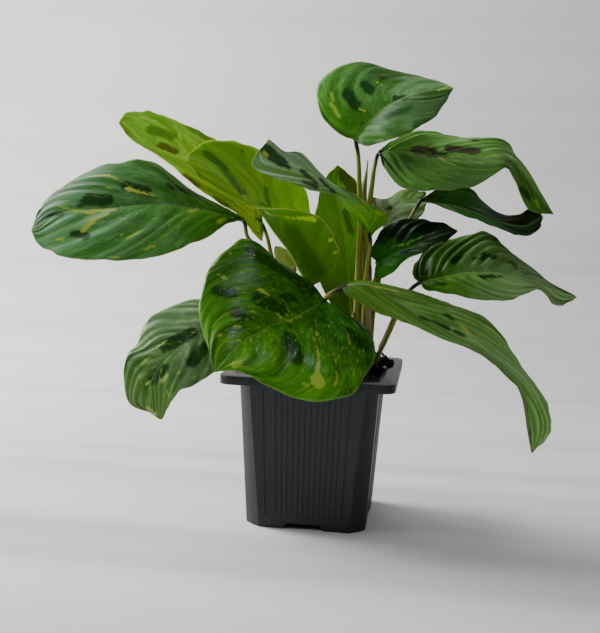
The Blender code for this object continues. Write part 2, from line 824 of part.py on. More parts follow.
def build_notches(group):
    """Build the cutters of the low arches in the middle of each side of the base."""
    shape = bmesh.new()
    slope = (NOTCH_BASE_HALF - NOTCH_TOP_HALF) / NOTCH_HEIGHT
    for side in range(4):
        matrix = Matrix.Rotation(side * math.pi / 2, 4, "Z")
        for vertex in bmesh.ops.create_cube(shape, size=2.0)["verts"]:
            z = NOTCH_HEIGHT if vertex.co.z > 0.0 else -CUT_OVERRUN
            x = vertex.co.x * (NOTCH_BASE_HALF - slope * z)
            y = NOTCH_DEPTH if vertex.co.y > 0.0 else -CUT_OVERRUN
            vertex.co = matrix @ Vector((x, y - POT_BASE_HALF, z))
    item = make_object("pot_notches", finish_mesh("pot_notches", shape), group)
    hide_cutter(item)
    return item


def build_drains(group):
    """Build the cutters of the drain holes through the base."""
    shape = bmesh.new()
    height = POT_FLOOR + 2 * CUT_OVERRUN
    for x, y in ((-1, -1), (1, -1), (1, 1), (-1, 1)):
        place = Matrix.Translation((x * DRAIN_OFFSET, y * DRAIN_OFFSET, POT_FLOOR / 2))
        bmesh.ops.create_cone(
            shape,
            cap_ends=True,
            segments=DRAIN_SIDES,
            radius1=DRAIN_RADIUS,
            radius2=DRAIN_RADIUS,
            depth=height,
            matrix=place,
        )
    item = make_object("pot_drains", finish_mesh("pot_drains", shape), group)
    hide_cutter(item)
    return item


def build_pot(group, cutters):
    """Build the pot with its ribs, grooves, base arches and drain holes."""
    material = make_material("pot_plastic", POT_GREY, POT_ROUGHNESS)
    item = make_object("pot", build_shell(), group, material)
    add_boolean(item, build_ribs(cutters), "UNION")
    add_boolean(item, build_grooves(cutters), "DIFFERENCE")
    add_boolean(item, build_notches(cutters), "DIFFERENCE")
    add_boolean(item, build_drains(cutters), "DIFFERENCE")
    return item


def soil_place(x, y, z):
    """Return where a place on the unit square lies on the soil's outline at a height."""
    half = wall_half(z) - POT_WALL - SOIL_GAP
    size = max(abs(x), abs(y))
    if size == 0.0:
        return Vector((0.0, 0.0, z))
    cut = (2.0 * half - wall_corner(z)) / half
    reach = half * min(1.0, cut * size / (abs(x) + abs(y)))
    return Vector((x * reach, y * reach, z))


def soil_height(x, y):
    """Return the height of the soil's heaps above its edge."""
    total = 0.0
    for centre_x, centre_y, rise, radius in SOIL_HEAPS_MM:
        away = (x / MM - centre_x) ** 2 + (y / MM - centre_y) ** 2
        total += rise * math.exp(-away / (2.0 * radius * radius))
    return total * MM


def build_soil_mesh():
    """Return the soil body: a lumpy top, sloped sides and a flat bottom."""
    rng = random.Random(SEED)
    shape = bmesh.new()
    bmesh.ops.create_grid(shape, x_segments=SOIL_CELLS, y_segments=SOIL_CELLS, size=1.0)
    border = [edge for edge in shape.edges if len(edge.link_faces) == 1]
    skirt = bmesh.ops.extrude_edge_only(shape, edges=border)["geom"]
    low = [piece for piece in skirt if isinstance(piece, bmesh.types.BMVert)]
    rim = [piece for piece in skirt if isinstance(piece, bmesh.types.BMEdge)]
    for vertex in shape.verts:
        x, y = vertex.co.x, vertex.co.y
        inward = 1.0 - max(abs(x), abs(y))
        if vertex in low:
            vertex.co = soil_place(x, y, POT_FLOOR + SEAT_GAP)
            continue
        vertex.co = soil_place(x, y, SOIL_EDGE_Z)
        if inward > SOIL_RIM_BAND:
            fade = min(1.0, inward * SOIL_CELLS / SOIL_FADE_CELLS)
            lump = rng.uniform(-SOIL_ROUGH, SOIL_ROUGH)
            vertex.co.z += soil_height(vertex.co.x, vertex.co.y) * fade + lump
    bmesh.ops.contextual_create(shape, geom=rim)
    bmesh.ops.triangulate(shape, faces=shape.faces)
    return finish_mesh("soil", shape)


def build_holes(group):
    """Build the cutters of the holes that the stalks stand in."""
    shape = bmesh.new()
    stands = [(petiole.foot, petiole.radius[-1]) for petiole in PETIOLES]
    stands.append((ROLL_FOOT_MM, ROLL_RADIUS_MM[-1]))
    for foot, radius in stands:
        middle = (HOLE_FLOOR_Z + HOLE_TOP_Z) / 2
        bmesh.ops.create_cone(
            shape,
            cap_ends=True,
            segments=HOLE_SIDES,
            radius1=radius * MM + HOLE_GAP,
            radius2=radius * MM + HOLE_GAP,
            depth=HOLE_TOP_Z - HOLE_FLOOR_Z,
            matrix=Matrix.Translation((foot[0] * MM, foot[1] * MM, middle)),
        )
    item = make_object("soil_holes", finish_mesh("soil_holes", shape), group)
    hide_cutter(item)
    return item


def build_soil(group, cutters):
    """Build the soil with a plain hole for every stalk."""
    material = make_material("potting_soil", SOIL_BROWN, SOIL_ROUGHNESS)
    item = make_object("soil", build_soil_mesh(), group, material)
    add_boolean(item, build_holes(cutters), "DIFFERENCE")
    return item


def main():
    """Build every piece of the potted plant."""
    clear_scene()
    group = make_collection(PART_NAME)
    cutters = make_collection("cutters")
    build_pot(group, cutters)
    build_soil(group, cutters)
    blades = {blade.name: blade for blade in BLADES}
    petioles = {petiole.name: petiole for petiole in PETIOLES}
    for blade in BLADES:
        build_blade(blade, group)
        build_petiole(petioles[blade.name], blade, group)
    build_roll(group)
    for entry in SHEATHS:
        build_sheath(entry, petioles[entry[0]], blades[entry[0]], group)


main()
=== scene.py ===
"""Potted prayer plant, dressed: waxy marked leaves, stalks, sheaths, soil and nursery pot.

Lengths are in metres unless a name ends in _MM. The origin is the middle of the pot's
base, +Z is up and the front of the plant looks along -Y.
"""

import logging
import math
import random
from dataclasses import dataclass
from enum import Enum

import bmesh
import bpy
from mathutils import Matrix, Vector, noise


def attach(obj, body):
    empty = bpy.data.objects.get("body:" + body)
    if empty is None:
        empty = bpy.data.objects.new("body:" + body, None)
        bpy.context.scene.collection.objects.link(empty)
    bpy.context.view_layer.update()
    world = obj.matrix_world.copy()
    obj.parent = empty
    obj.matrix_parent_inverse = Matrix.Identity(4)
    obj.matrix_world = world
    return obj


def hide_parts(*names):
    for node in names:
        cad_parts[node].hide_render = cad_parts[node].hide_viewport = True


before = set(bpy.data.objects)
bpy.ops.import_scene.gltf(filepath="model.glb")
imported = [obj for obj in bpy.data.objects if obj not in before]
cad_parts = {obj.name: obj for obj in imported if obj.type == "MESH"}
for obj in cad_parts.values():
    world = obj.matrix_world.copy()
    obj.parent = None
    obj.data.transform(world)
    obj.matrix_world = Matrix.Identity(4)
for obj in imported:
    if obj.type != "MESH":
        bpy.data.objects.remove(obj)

REPORT = logging.getLogger("prayer_plant")
ROOT = "root"
MM = 0.001
SEED = 23
BACKDROP_STEPS = 60

# Leaf blades: how finely a blade is drawn and how its surface lies on its curves
BLADE_ROWS = 124
HALF_COLUMNS = 30
COLUMN_CROWDING = 1.35
LENGTH_STEPS = 40
MIDRIB_LAG = 1.2
SLOPE_STEP = 0.02
WAVE_SHIFT = 1.9
LAMINA_THICK_MM = 0.45
MIDRIB_THICK_MM = 1.5
MIDRIB_HALF_MM = 0.9
MIDRIB_GROOVE_MM = 0.35
FLUTTER_MM = 0.9
UNEVEN_MM = 0.9
NIBBLE_MM = 2.6
END_FADE = 0.07
# How much the fold height counts in the colour, which paints sheen on ridges and shade in valleys
RIDGE_WEIGHT = 0.2
FAR_MM = 30.0

# The noise that makes a blade uneven: cycles a millimetre, how far it moves the folds in
# radians, and what is added to a blade's seed, or steps from one blade's pattern to the
# next, so that no two patterns are alike
BROAD_CYCLES = 0.05
FLUTTER_CYCLES = 0.16
NIBBLE_CYCLES = 0.11
FOLD_WANDER = 8.0
HALF_OFFSET = 7.0
UNEVEN_OFFSET = 40.0
FLUTTER_OFFSET = 90.0
NIBBLE_OFFSET = 60.0
PATTERN_STEP = 5.0

# Stalks, sheaths and the rolled leaf
STALK_STEPS = 72
STALK_SIDES = 20
STALK_REACH = 0.05
STALK_TIP_SHARE = 0.5
PULVINUS_MM = 9.0
PULVINUS_SWELL = 0.12
PULVINUS_MIDDLE = 0.6
PULVINUS_SHARP = 6.0
TIP_FADE_MM = 4.0
STALK_TAIL_MM = (95.0, 85.0)
STALK_FOOT_Z = 0.0723
SHEATH_THICK_MM = 0.5
SHEATH_GAP_MM = 0.25
SHEATH_ROWS = 44
SHEATH_COLUMNS = 26
SHEATH_FLARE_MM = 0.5
SHEATH_TAPER = 0.8
TEAR_CYCLES = 6.0
TEAR_SHARE = 0.15
ROLL_ROWS = 90
ROLL_COLUMNS = 64
ROLL_TURNS = 1.4
ROLL_TWIST = 2.5
ROLL_CORE = 0.72
ROLL_THICK_MM = 0.35

# Pot, as in the solid: a tapered square shell with cut corners and a turned-down flange
POT_HEIGHT = 0.0910
POT_RIM_HALF = 0.0500
POT_RIM_CORNER = 0.0070
POT_TOP_HALF = 0.0404
POT_TOP_CORNER = 0.0067
POT_TOP_Z = 0.0872
POT_MOUTH_HALF = 0.0424
POT_BASE_HALF = 0.0353
POT_BASE_CORNER = 0.0090
POT_WALL = 0.0012
POT_FLOOR = 0.0052
FLARE_HALF = 0.0426
FLANGE_THICK = 0.0017
LIP_DEPTH = 0.0050
LIP_THICK = 0.0014
LIP_ROUND = 0.0006
RIB_COUNT = 12
RIB_PITCH = 0.0035
RIB_WIDTH = 0.0015
RIB_PROUD = 0.00045
RIB_LOW = 0.0080
RIB_HIGH = 0.0835
GROOVE_OFFSET = 0.0252
GROOVE_WIDTH = 0.0012
GROOVE_DEPTH = 0.0005
NOTCH_BASE_HALF = 0.0120
NOTCH_TOP_HALF = 0.0095
NOTCH_HEIGHT = 0.0032
NOTCH_DEPTH = 0.0080
DRAIN_RADIUS = 0.0035
DRAIN_SIDES = 32
DRAIN_OFFSET = 0.0170

# Soil: its edge, and its heaps as x, y, rise and radius
SOIL_GAP = 0.0003
SOIL_EDGE_Z = 0.0862
SOIL_HEAPS_MM = (
    (35.0, 27.0, 10.0, 7.0),
    (36.0, 13.0, 3.0, 6.0),
    (26.0, 8.0, 2.5, 10.0),
    (4.0, -2.0, 3.0, 13.0),
    (-20.0, 14.0, 2.5, 12.0),
    (-16.0, -22.0, 1.5, 9.0),
)

# Where crumbs lie spilled on the rim: its inner edge, how far back and how high
SPILL_MM = (38.0, 21.0, 7.0)

# Positions of the colour and vector sockets of a Mix node
COLOUR_A = 6
COLOUR_B = 7
COLOUR_OUT = 2
VECTOR_A = 4
VECTOR_B = 5
VECTOR_OUT = 1

# How light bends in a waxy skin and in the pot's plastic, and how much of it comes
# through a sheath or the rolled leaf
WAX_IOR = 1.45
PLASTIC_IOR = 1.49
THIN_SHARE = 0.3

# What a leaf's silvery wax does to red, green and blue, with painted shade deepening its
# valleys and painted sheen silvering its ridges
VALLEY_SHADE_TINT = (0.45, 0.62, 0.28)
RIDGE_SHEEN_TINT = (1.5, 1.3, 1.9)

# What the grain of a leaf does to them where green is thick and where it is thin
THICK_TINT = (0.55, 0.62, 0.6)
THIN_TINT = (1.55, 1.42, 1.35)

# Grain of a leaf's patterns: cycles a millimetre along the midrib and out along a vein,
# and how far apart the patterns of two blades lie
CLOUD_GRAIN = (0.1, 0.075, 1.0)
THREAD_GRAIN = (0.5, 0.26, 1.0)
FLECK_GRAIN = (0.55, 0.3, 3.0)
EDGE_GRAIN = (0.5, 0.22, 1.0)
VEIN_GRAIN = (0.5, 0.13, 1.0)
CELL_GRAIN = (1.6, 0.7, 1.0)
SHEEN_GRAIN = (0.2, 0.08, 1.0)

# Depth of the vein pattern, how far a marking covers the green, how much of a dark one
# shows on the lower side and how much rougher that side is
VEIN_RELIEF = 0.45 * MM
MARK_DEPTH = 0.92
UNDER_MARK = 0.6
UNDER_MATT = 0.2

# Grain is cycles for each unit of the coordinates, a route is points in millimetres, and
# a stroke is where it starts, where it ends and half its width
Socket = bpy.types.NodeSocket
Layers = list[tuple[Socket, str]]
Grain = tuple[float, float, float]
Route = tuple[tuple[float, float, float], ...]
Strokes = tuple[tuple[float, float, float, float, float], ...]


class Slot(Enum):
    """Material slots of the record that the pieces take their finishes from."""

    LEAF_DARK = "leaf_dark"
    LEAF_GREEN = "leaf_green"
    LEAF_LIGHT = "leaf_light"
    LEAF_OLIVE = "leaf_olive"
    STALK = "stalk"
    SHEATH = "sheath"
    ROLLED_LEAF = "rolled_leaf"
    POT = "pot_plastic"
    SOIL = "potting_soil"


def linear(colour: str, alpha: float = 1.0) -> tuple[float, float, float, float]:
    """Turn an sRGB hex colour into linear light.

    Args:
        colour: six hex digits.
        alpha: the opacity to add.

    Returns:
        Red, green, blue and alpha from 0 to 1.
    """
    parts = []
    for start in (0, 2, 4):
        value = int(colour[start:start + 2], 16) / 255
        parts.append(value / 12.92 if value <= 0.04045 else ((value + 0.055) / 1.055) ** 2.4)
    return (parts[0], parts[1], parts[2], alpha)


@dataclass(frozen=True)
class Board:
    """The nodes of a material or a world: one way to add a node, and its usual forms.

    Where a form takes a socket to read, it also takes a plain value, and where it takes
    a colour to read, it also takes a hex colour.
    """

    owner: bpy.types.ID

    def __post_init__(self) -> None:
        """Start from an empty tree."""
        self.owner.use_nodes = True
        self.owner.node_tree.nodes.clear()

    def add(self, kind: str, inputs: dict | None = None, **settings: object) -> bpy.types.Node:
        """Add a node with its settings and its inputs.

        Args:
            kind: the node's type name without ShaderNode in front.
            inputs: what feeds each input, by name or position: a socket, a hex colour
                or a plain value.
            **settings: attributes of the node itself.

        Returns:
            The new node.
        """
        tree = self.owner.node_tree
        node = tree.nodes.new("ShaderNode" + kind)
        for key, value in settings.items():
            setattr(node, key, value)
        for key, value in (inputs or {}).items():
            if isinstance(value, Socket):
                tree.links.new(value, node.inputs[key])
            else:
                node.inputs[key].default_value = linear(value) if isinstance(value, str) else value
        return node

    def attribute(self, name: str, output: str = "Vector") -> Socket:
        """Read one of the mesh's own attributes."""
        return self.add("Attribute", attribute_name=name).outputs[output]

    def coordinates(self, output: str = "Object") -> Socket:
        """Read the object's own coordinates, or another kind of them."""
        return self.add("TexCoord").outputs[output]

    def split(self, vector: Socket) -> tuple[Socket, ...]:
        """Take a vector's three parts."""
        return tuple(self.add("SeparateXYZ", {0: vector}).outputs)

    def noise(
        self, place: Socket, grain: Grain, detail: float = 2.0, roughness: float = 0.5
    ) -> Socket:
        """Read noise whose grain is stretched by a different scale on each axis.

        Args:
            place: the coordinates to read it at.
            grain: cycles for each unit of the coordinates.
            detail: how many finer layers are added.
            roughness: how strong those layers are.

        Returns:
            A value round 0.5.
        """
        stretched = self.add("VectorMath", {0: place, 1: grain}, operation="MULTIPLY").outputs[0]
        inputs = {"Vector": stretched, "Scale": 1.0, "Detail": detail, "Roughness": roughness}
        return self.add("TexNoise", inputs).outputs[0]

    def ramp(
        self,
        value: Socket,
        low: float,
        high: float,
        start: float = 0.0,
        end: float = 1.0,
        style: str = "SMOOTHSTEP",
    ) -> Socket:
        """Turn low to high into start to end, with soft ends unless the style is LINEAR."""
        inputs = {"Value": value, "From Min": low, "From Max": high, "To Min": start, "To Max": end}
        return self.add("MapRange", inputs, interpolation_type=style).outputs[0]

    def maths(self, operation: str, *parts: Socket | float) -> Socket:
        """Work out one value from others."""
        return self.add("Math", dict(enumerate(parts)), operation=operation).outputs[0]

    def mix(self, share: Socket | float, low: Socket | str, high: Socket | str) -> Socket:
        """Mix two colours, all of the low one at 0 and all of the high one at 1."""
        inputs = {"Factor": share, COLOUR_A: low, COLOUR_B: high}
        return self.add("Mix", inputs, data_type="RGBA").outputs[COLOUR_OUT]

    def over(self, base: Socket, layers: Layers) -> Socket:
        """Lay colours over a base colour, each where its own mask is 1.

        Args:
            base: the colour below.
            layers: pairs of a mask and a colour, from the lowest up.

        Returns:
            The colour on top.
        """
        for mask, colour in layers:
            base = self.mix(mask, base, colour)
        return base

    def bump(self, height: Socket, strength: float, depth: float) -> Socket:
        """Turn a height into relief whose unit is depth in metres."""
        inputs = {"Height": height, "Strength": strength, "Distance": depth}
        return self.add("Bump", inputs).outputs[0]

    def skin(
        self, colour: Socket, roughness: Socket | float, relief: Socket, more: dict | None = None
    ) -> Socket:
        """Add the opaque outer surface, with more of its inputs by name."""
        inputs = {"Base Color": colour, "Roughness": roughness, "Normal": relief} | (more or {})
        return self.add("BsdfPrincipled", inputs).outputs[0]

    def thin(self, share: float, skin: Socket, inputs: dict) -> Socket:
        """Let a share of the light come through the skin, tinted as the inputs say."""
        through = self.add("BsdfTranslucent", inputs).outputs[0]
        return self.add("MixShader", {"Fac": share, 1: skin, 2: through}).outputs[0]

    def finish(self, surface: Socket) -> bpy.types.ID:
        """Put the shader on the owner's surface and return the owner."""
        kind = "OutputWorld" if isinstance(self.owner, bpy.types.World) else "OutputMaterial"
        self.add(kind, {"Surface": surface})
        return self.owner


def new_board(name: str) -> Board:
    """Make a material and return the board that holds it."""
    return Board(bpy.data.materials.new(name))


def spline_slope(points: list[Vector], knots: list[float], index: int) -> Vector:
    """Find the slope of the curve at one of its points.

    Args:
        points: the points of the curve.
        knots: the curve's parameter at each of them.
        index: which point.

    Returns:
        The slope against the parameter.
    """
    final = len(points) - 1
    if index == 0:
        return (points[1] - points[0]) / (knots[1] - knots[0])
    if index == final:
        return (points[final] - points[final - 1]) / (knots[final] - knots[final - 1])
    before = knots[index] - knots[index - 1]
    after = knots[index + 1] - knots[index]
    back = (points[index] - points[index - 1]) / before
    front = (points[index + 1] - points[index]) / after
    return (back * after + front * before) / (before + after)


def spline(points: list[Vector], share: float) -> Vector:
    """Find the place at a share of a smooth curve through points.

    Knots are spaced by the square root of the chords, so that close points give a
    tight bend without loops.

    Args:
        points: the points that the curve passes through.
        share: 0 at the first point and 1 at the last.

    Returns:
        The place on the curve.
    """
    knots = [0.0]
    for start, end in zip(points, points[1:]):
        knots.append(knots[-1] + math.sqrt((end - start).length))
    place = share * knots[-1]
    last = len(points) - 2
    index = 0
    while index < last and place >= knots[index + 1]:
        index += 1
    span = knots[index + 1] - knots[index]
    step = (place - knots[index]) / span
    leave = spline_slope(points, knots, index)
    arrive = spline_slope(points, knots, index + 1)
    square = step * step
    cube = square * step
    return (
        points[index] * (2 * cube - 3 * square + 1)
        + leave * (span * (cube - 2 * square + step))
        + points[index + 1] * (3 * square - 2 * cube)
        + arrive * (span * (cube - square))
    )


def radius_at(radii: tuple[float, ...], share: float) -> float:
    """Find the radius of a tube at a share of its length.

    Args:
        radii: its radii, spaced evenly along it.
        share: 0 at the first of them and 1 at the last.

    Returns:
        The radius, in the unit of the radii.
    """
    place = share * (len(radii) - 1)
    index = min(int(place), len(radii) - 2)
    step = place - index
    ease = step * step * (3.0 - 2.0 * step)
    return radii[index] + (radii[index + 1] - radii[index]) * ease


def soft_step(value: float, low: float, high: float) -> float:
    """Rise smoothly from 0 at low to 1 at high."""
    share = min(max((value - low) / (high - low), 0.0), 1.0)
    return share * share * (3.0 - 2.0 * share)


def to_metres(points: tuple) -> list[Vector]:
    """Turn millimetre tuples into vectors in metres."""
    return [Vector(point) * MM for point in points]


def heading_at(angle: float) -> Vector:
    """Return the level direction at an angle about +Z."""
    return Vector((math.cos(angle), math.sin(angle), 0.0))


def turned(degrees: float, axis: str) -> Matrix:
    """Return a turn about an axis."""
    return Matrix.Rotation(math.radians(degrees), 4, axis)


def wall_half(z: float) -> float:
    """Return the outer half width of the pot's wall at a height."""
    return POT_BASE_HALF + (POT_TOP_HALF - POT_BASE_HALF) * z / POT_TOP_Z


def make_object(name: str, shape: bmesh.types.BMesh) -> bpy.types.Object:
    """Turn a bmesh into a smooth object in the scene.

    Args:
        name: the name of the object and of its mesh.
        shape: the mesh, which is freed.

    Returns:
        The object.
    """
    for face in shape.faces:
        face.smooth = True
    mesh = bpy.data.meshes.new(name)
    shape.to_mesh(mesh)
    shape.free()
    item = bpy.data.objects.new(name, mesh)
    bpy.context.scene.collection.objects.link(item)
    return item


def make_piece(
    name: str,
    shape: bmesh.types.BMesh,
    materials: list[bpy.types.Material],
    nodes: tuple[str, ...],
) -> bpy.types.Object:
    """Turn a bmesh into a finished piece that rides on the body and replaces its nodes.

    Args:
        name: the piece's name.
        shape: the mesh, which is freed.
        materials: its materials in slot order.
        nodes: the nodes of the solid model that it stands for.

    Returns:
        The piece.
    """
    piece = make_object(name, shape)
    for material in materials:
        piece.data.materials.append(material)
    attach(piece, ROOT)
    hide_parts(*nodes)
    return piece


def thicken(piece: bpy.types.Object, thickness: float, offset: float) -> bpy.types.Modifier:
    """Give a sheet its thickness with a live Solidify.

    Args:
        piece: the sheet.
        thickness: its thickness in metres.
        offset: -1 to grow below the sheet and 0 to grow to both sides.

    Returns:
        The modifier.
    """
    step = piece.modifiers.new("thickness", "SOLIDIFY")
    step.thickness = thickness
    step.offset = offset
    return step


def grid(rows: int, columns: int) -> bmesh.types.BMesh:
    """Draw a flat sheet from -1 to 1 both ways, with rows along X and columns along Y.

    Args:
        rows: how many faces it has along X.
        columns: how many it has along Y.

    Returns:
        The mesh.
    """
    shape = bmesh.new()
    bmesh.ops.create_grid(shape, x_segments=rows, y_segments=columns, size=1.0)
    return shape


def loft(rings: list[list[Vector]], flows: list[list[Vector]] | None = None) -> bmesh.types.BMesh:
    """Draw a closed shell by extruding each ring of places to the next.

    Args:
        rings: lists of as many places each, all in the same order round.
        flows: the surface coordinates of the places, where the shell needs them.

    Returns:
        The mesh.
    """
    shape = bmesh.new()
    layer = shape.verts.layers.float_vector.new("flow") if flows else None
    made = bmesh.ops.create_circle(shape, cap_ends=True, segments=len(rings[0]), radius=1.0)
    ring = made["verts"]
    border = list(shape.edges)
    for step, places in enumerate(rings):
        if step > 0:
            parts = bmesh.ops.extrude_edge_only(shape, edges=border)["geom"]
            border = [part for part in parts if isinstance(part, bmesh.types.BMEdge)]
            fresh = {part for part in parts if isinstance(part, bmesh.types.BMVert)}
            ring = [(fresh & neighbours(vertex)).pop() for vertex in ring]
        for index, vertex in enumerate(ring):
            vertex.co = places[index]
            if flows:
                vertex[layer] = flows[step][index]
    bmesh.ops.contextual_create(shape, geom=border)
    bmesh.ops.recalc_face_normals(shape, faces=shape.faces)
    return shape


def neighbours(vertex: bmesh.types.BMVert) -> set[bmesh.types.BMVert]:
    """Return the vertices that share an edge with this one."""
    return {edge.other_vert(vertex) for edge in vertex.link_edges}


@dataclass(frozen=True)
class LeafFinish:
    """A waxy leaf blade: cuticle gloss above, matt and paler below, lit through.

    The eye sees greens that drift from base to tip and from half to half, mottled and
    streaked along the side veins, dark blotches beside the midrib, cream flecks where
    the green is missing, and a yellower green where light comes through. Part of that is
    painted light: painted sheen on the ridges, painted shade in the valleys and painted
    shade on the half that the light reaches less. tones are the upper side at the base
    and at the tip, and under_tones the lower side there. bloom_and_sheen is how much the
    ridges silver, partly as the leaf's own wax and partly as painted sheen, and how much
    the valleys deepen with painted shade, and half_tone_and_shade is how light the left
    and the right half are: partly the leaf's own colour, as one half of a prayer plant's
    leaf is often the darker, and partly painted shade and light.
    """

    tones: tuple[str, str]
    under_tones: tuple[str, str] = ("5c7436", "55703a")
    dark: str = "0c3a0c"
    pale: str = "d8e880"
    brown: str = "4a4030"
    rib: str = "98bc60"
    margin: str = "84a84c"
    glow: str = "8fb01c"
    see_through: float = 0.35
    roughness: float = 0.25
    gloss: float = 0.24
    fleck_start: float = 0.70
    bloom_and_sheen: float = 1.0
    half_tone_and_shade: tuple[float, float] = (1.0, 1.0)

    def upper(self, name: str) -> bpy.types.Material:
        """Make the glossy upper side with its markings."""
        board = new_board(name + "_upper")
        layers = self.marks(board) + self.flecks(board) + self.lines(board)
        colour = board.over(self.ground(board, self.tones), layers)
        return self.surface(board, colour, self.roughness)

    def under_side(self, name: str) -> bpy.types.Material:
        """Make the matt lower side, on which the dark markings only shimmer through."""
        board = new_board(name + "_under")
        (mask, dark), *others = self.marks(board)
        layers = [(board.maths("MULTIPLY", mask, UNDER_MARK), dark)] + others + self.lines(board)
        colour = board.over(self.ground(board, self.under_tones), layers)
        return self.surface(board, colour, self.roughness + UNDER_MATT)

    def ground(self, board: Board, tones: tuple[str, str]) -> Socket:
        """Let the colour drift, silver the ridges and deepen the valleys, partly as the leaf's own
        mottle and partly as painted sheen and painted shade, and streak the valleys along
        the veins.

        Side veins are about 0.5 mm apart, drawn at 2 mm so that they show.

        Args:
            board: the board to add to.
            tones: the colours at the base and at the tip.

        Returns:
            The mottled ground.
        """
        along, _, side = board.split(board.attribute("share"))
        even = board.mix(board.ramp(along, 0.15, 0.8), tones[0], tones[1])
        # Each half is made lighter or darker: partly its own tone, partly painted shade and light.
        light = board.ramp(side, -1.0, 1.0, self.half_tone_and_shade[1], self.half_tone_and_shade[0], "LINEAR")
        colour = board.add("VectorMath", {0: even, "Scale": light}, operation="SCALE").outputs[0]
        flow = board.attribute("flow")
        cloud = board.noise(flow, CLOUD_GRAIN, 5.0, 0.65)
        # The fold height tints the colour with painted sheen on the ridges and painted shade in the
        # valleys; the cloud adds random mottle.
        height = board.maths("MULTIPLY_ADD", cloud, 1.5, board.attribute("ridge", "Fac"))
        broad = board.ramp(height, 0.45, 1.05, style="LINEAR")
        fine = board.ramp(board.noise(flow, THREAD_GRAIN, 5.0, 0.75), 0.3, 0.7, style="LINEAR")
        for share, low, high in ((broad, VALLEY_SHADE_TINT, RIDGE_SHEEN_TINT), (fine, THICK_TINT, THIN_TINT)):
            sheen_and_shade_tints = [[1.0 + (part - 1.0) * self.bloom_and_sheen for part in tint] for tint in (low, high)]
            inputs = {"Factor": share, VECTOR_A: sheen_and_shade_tints[0], VECTOR_B: sheen_and_shade_tints[1]}
            tint = board.add("Mix", inputs, data_type="VECTOR").outputs[VECTOR_OUT]
            product = board.add("VectorMath", {0: colour, 1: tint}, operation="MULTIPLY")
            colour = product.outputs[0]
        return colour

    def flecks(self, board: Board) -> Layers:
        """Scatter faint and bright cream flecks, 1 to 3 mm long, along the side veins.

        Args:
            board: the board to add to.

        Returns:
            Masks with their colours.
        """
        rare = board.noise(board.attribute("flow"), FLECK_GRAIN, 5.0, 0.65)
        faint = board.ramp(rare, self.fleck_start - 0.09, self.fleck_start + 0.03, 0.0, 0.35)
        bright = board.ramp(rare, self.fleck_start, self.fleck_start + 0.05)
        return [(faint, self.pale), (bright, self.pale)]

    def marks(self, board: Board) -> Layers:
        """Turn the millimetres to the markings into masks with ragged edges.

        Args:
            board: the board to add to.

        Returns:
            Masks with their colours: dark, brown and pale.
        """
        dark, pale, brown = board.split(board.attribute("marks"))
        ragged = board.noise(board.attribute("flow"), EDGE_GRAIN, 6.0, 0.75)
        layers = []
        for away, reach, outer, inner, colour in (
            (dark, 1.7, 1.6, -0.4, self.dark),
            (brown, 1.6, 1.4, -0.2, self.brown),
            (pale, 1.3, 0.5, -0.3, self.pale),
        ):
            wander = board.ramp(ragged, 0.3, 0.7, -reach, reach, "LINEAR")
            edge = board.maths("ADD", away, wander)
            layers.append((board.ramp(edge, outer, inner, 0.0, MARK_DEPTH), colour))
        return layers

    def lines(self, board: Board) -> Layers:
        """Draw the lighter midrib and the fine yellowish margin.

        Args:
            board: the board to add to.

        Returns:
            Masks with their colours.
        """
        _, out, _ = board.split(board.attribute("flow"))
        along, across, _ = board.split(board.attribute("share"))
        width = board.ramp(along, 0.0, 1.0, MIDRIB_HALF_MM, 0.25, "LINEAR")
        inner = board.maths("DIVIDE", board.maths("ABSOLUTE", out), width)
        rib = board.ramp(inner, 1.0, 0.4, 0.0, 0.55)
        rim = board.ramp(across, 0.975, 0.995, 0.0, 0.7)
        return [(rib, self.rib), (rim, self.margin)]

    def surface(self, board: Board, colour: Socket, roughness: float) -> bpy.types.Material:
        """Finish the material: vein relief, gloss, and light that comes through.

        Args:
            board: the board to add to.
            colour: the finished colour.
            roughness: the mean roughness.

        Returns:
            The material.
        """
        flow = board.attribute("flow")
        veins = board.noise(flow, VEIN_GRAIN, 3.0)
        height = board.maths("MULTIPLY_ADD", board.noise(flow, CELL_GRAIN), 0.5, veins)
        relief = board.bump(height, 0.5, VEIN_RELIEF)
        patchy = board.noise(flow, SHEEN_GRAIN)
        gloss = board.ramp(patchy, 0.3, 0.7, roughness - 0.07, roughness + 0.09, "LINEAR")
        wax = {"IOR": WAX_IOR, "Specular IOR Level": self.gloss}
        skin = board.skin(colour, gloss, relief, wax)
        glow = {"Color": board.mix(0.55, colour, self.glow), "Normal": relief}
        return board.finish(board.thin(self.see_through, skin, glow))


def stroke_distance(place: Vector, start: Vector, end: Vector) -> float:
    """Find how far a place is from a straight stroke.

    Args:
        place: the place.
        start: where the stroke starts.
        end: where it ends.

    Returns:
        The distance in the unit of the places.
    """
    span = end - start
    share = (place - start).dot(span) / span.length_squared if span.length > 0.0 else 0.0
    return (place - start - span * min(max(share, 0.0), 1.0)).length


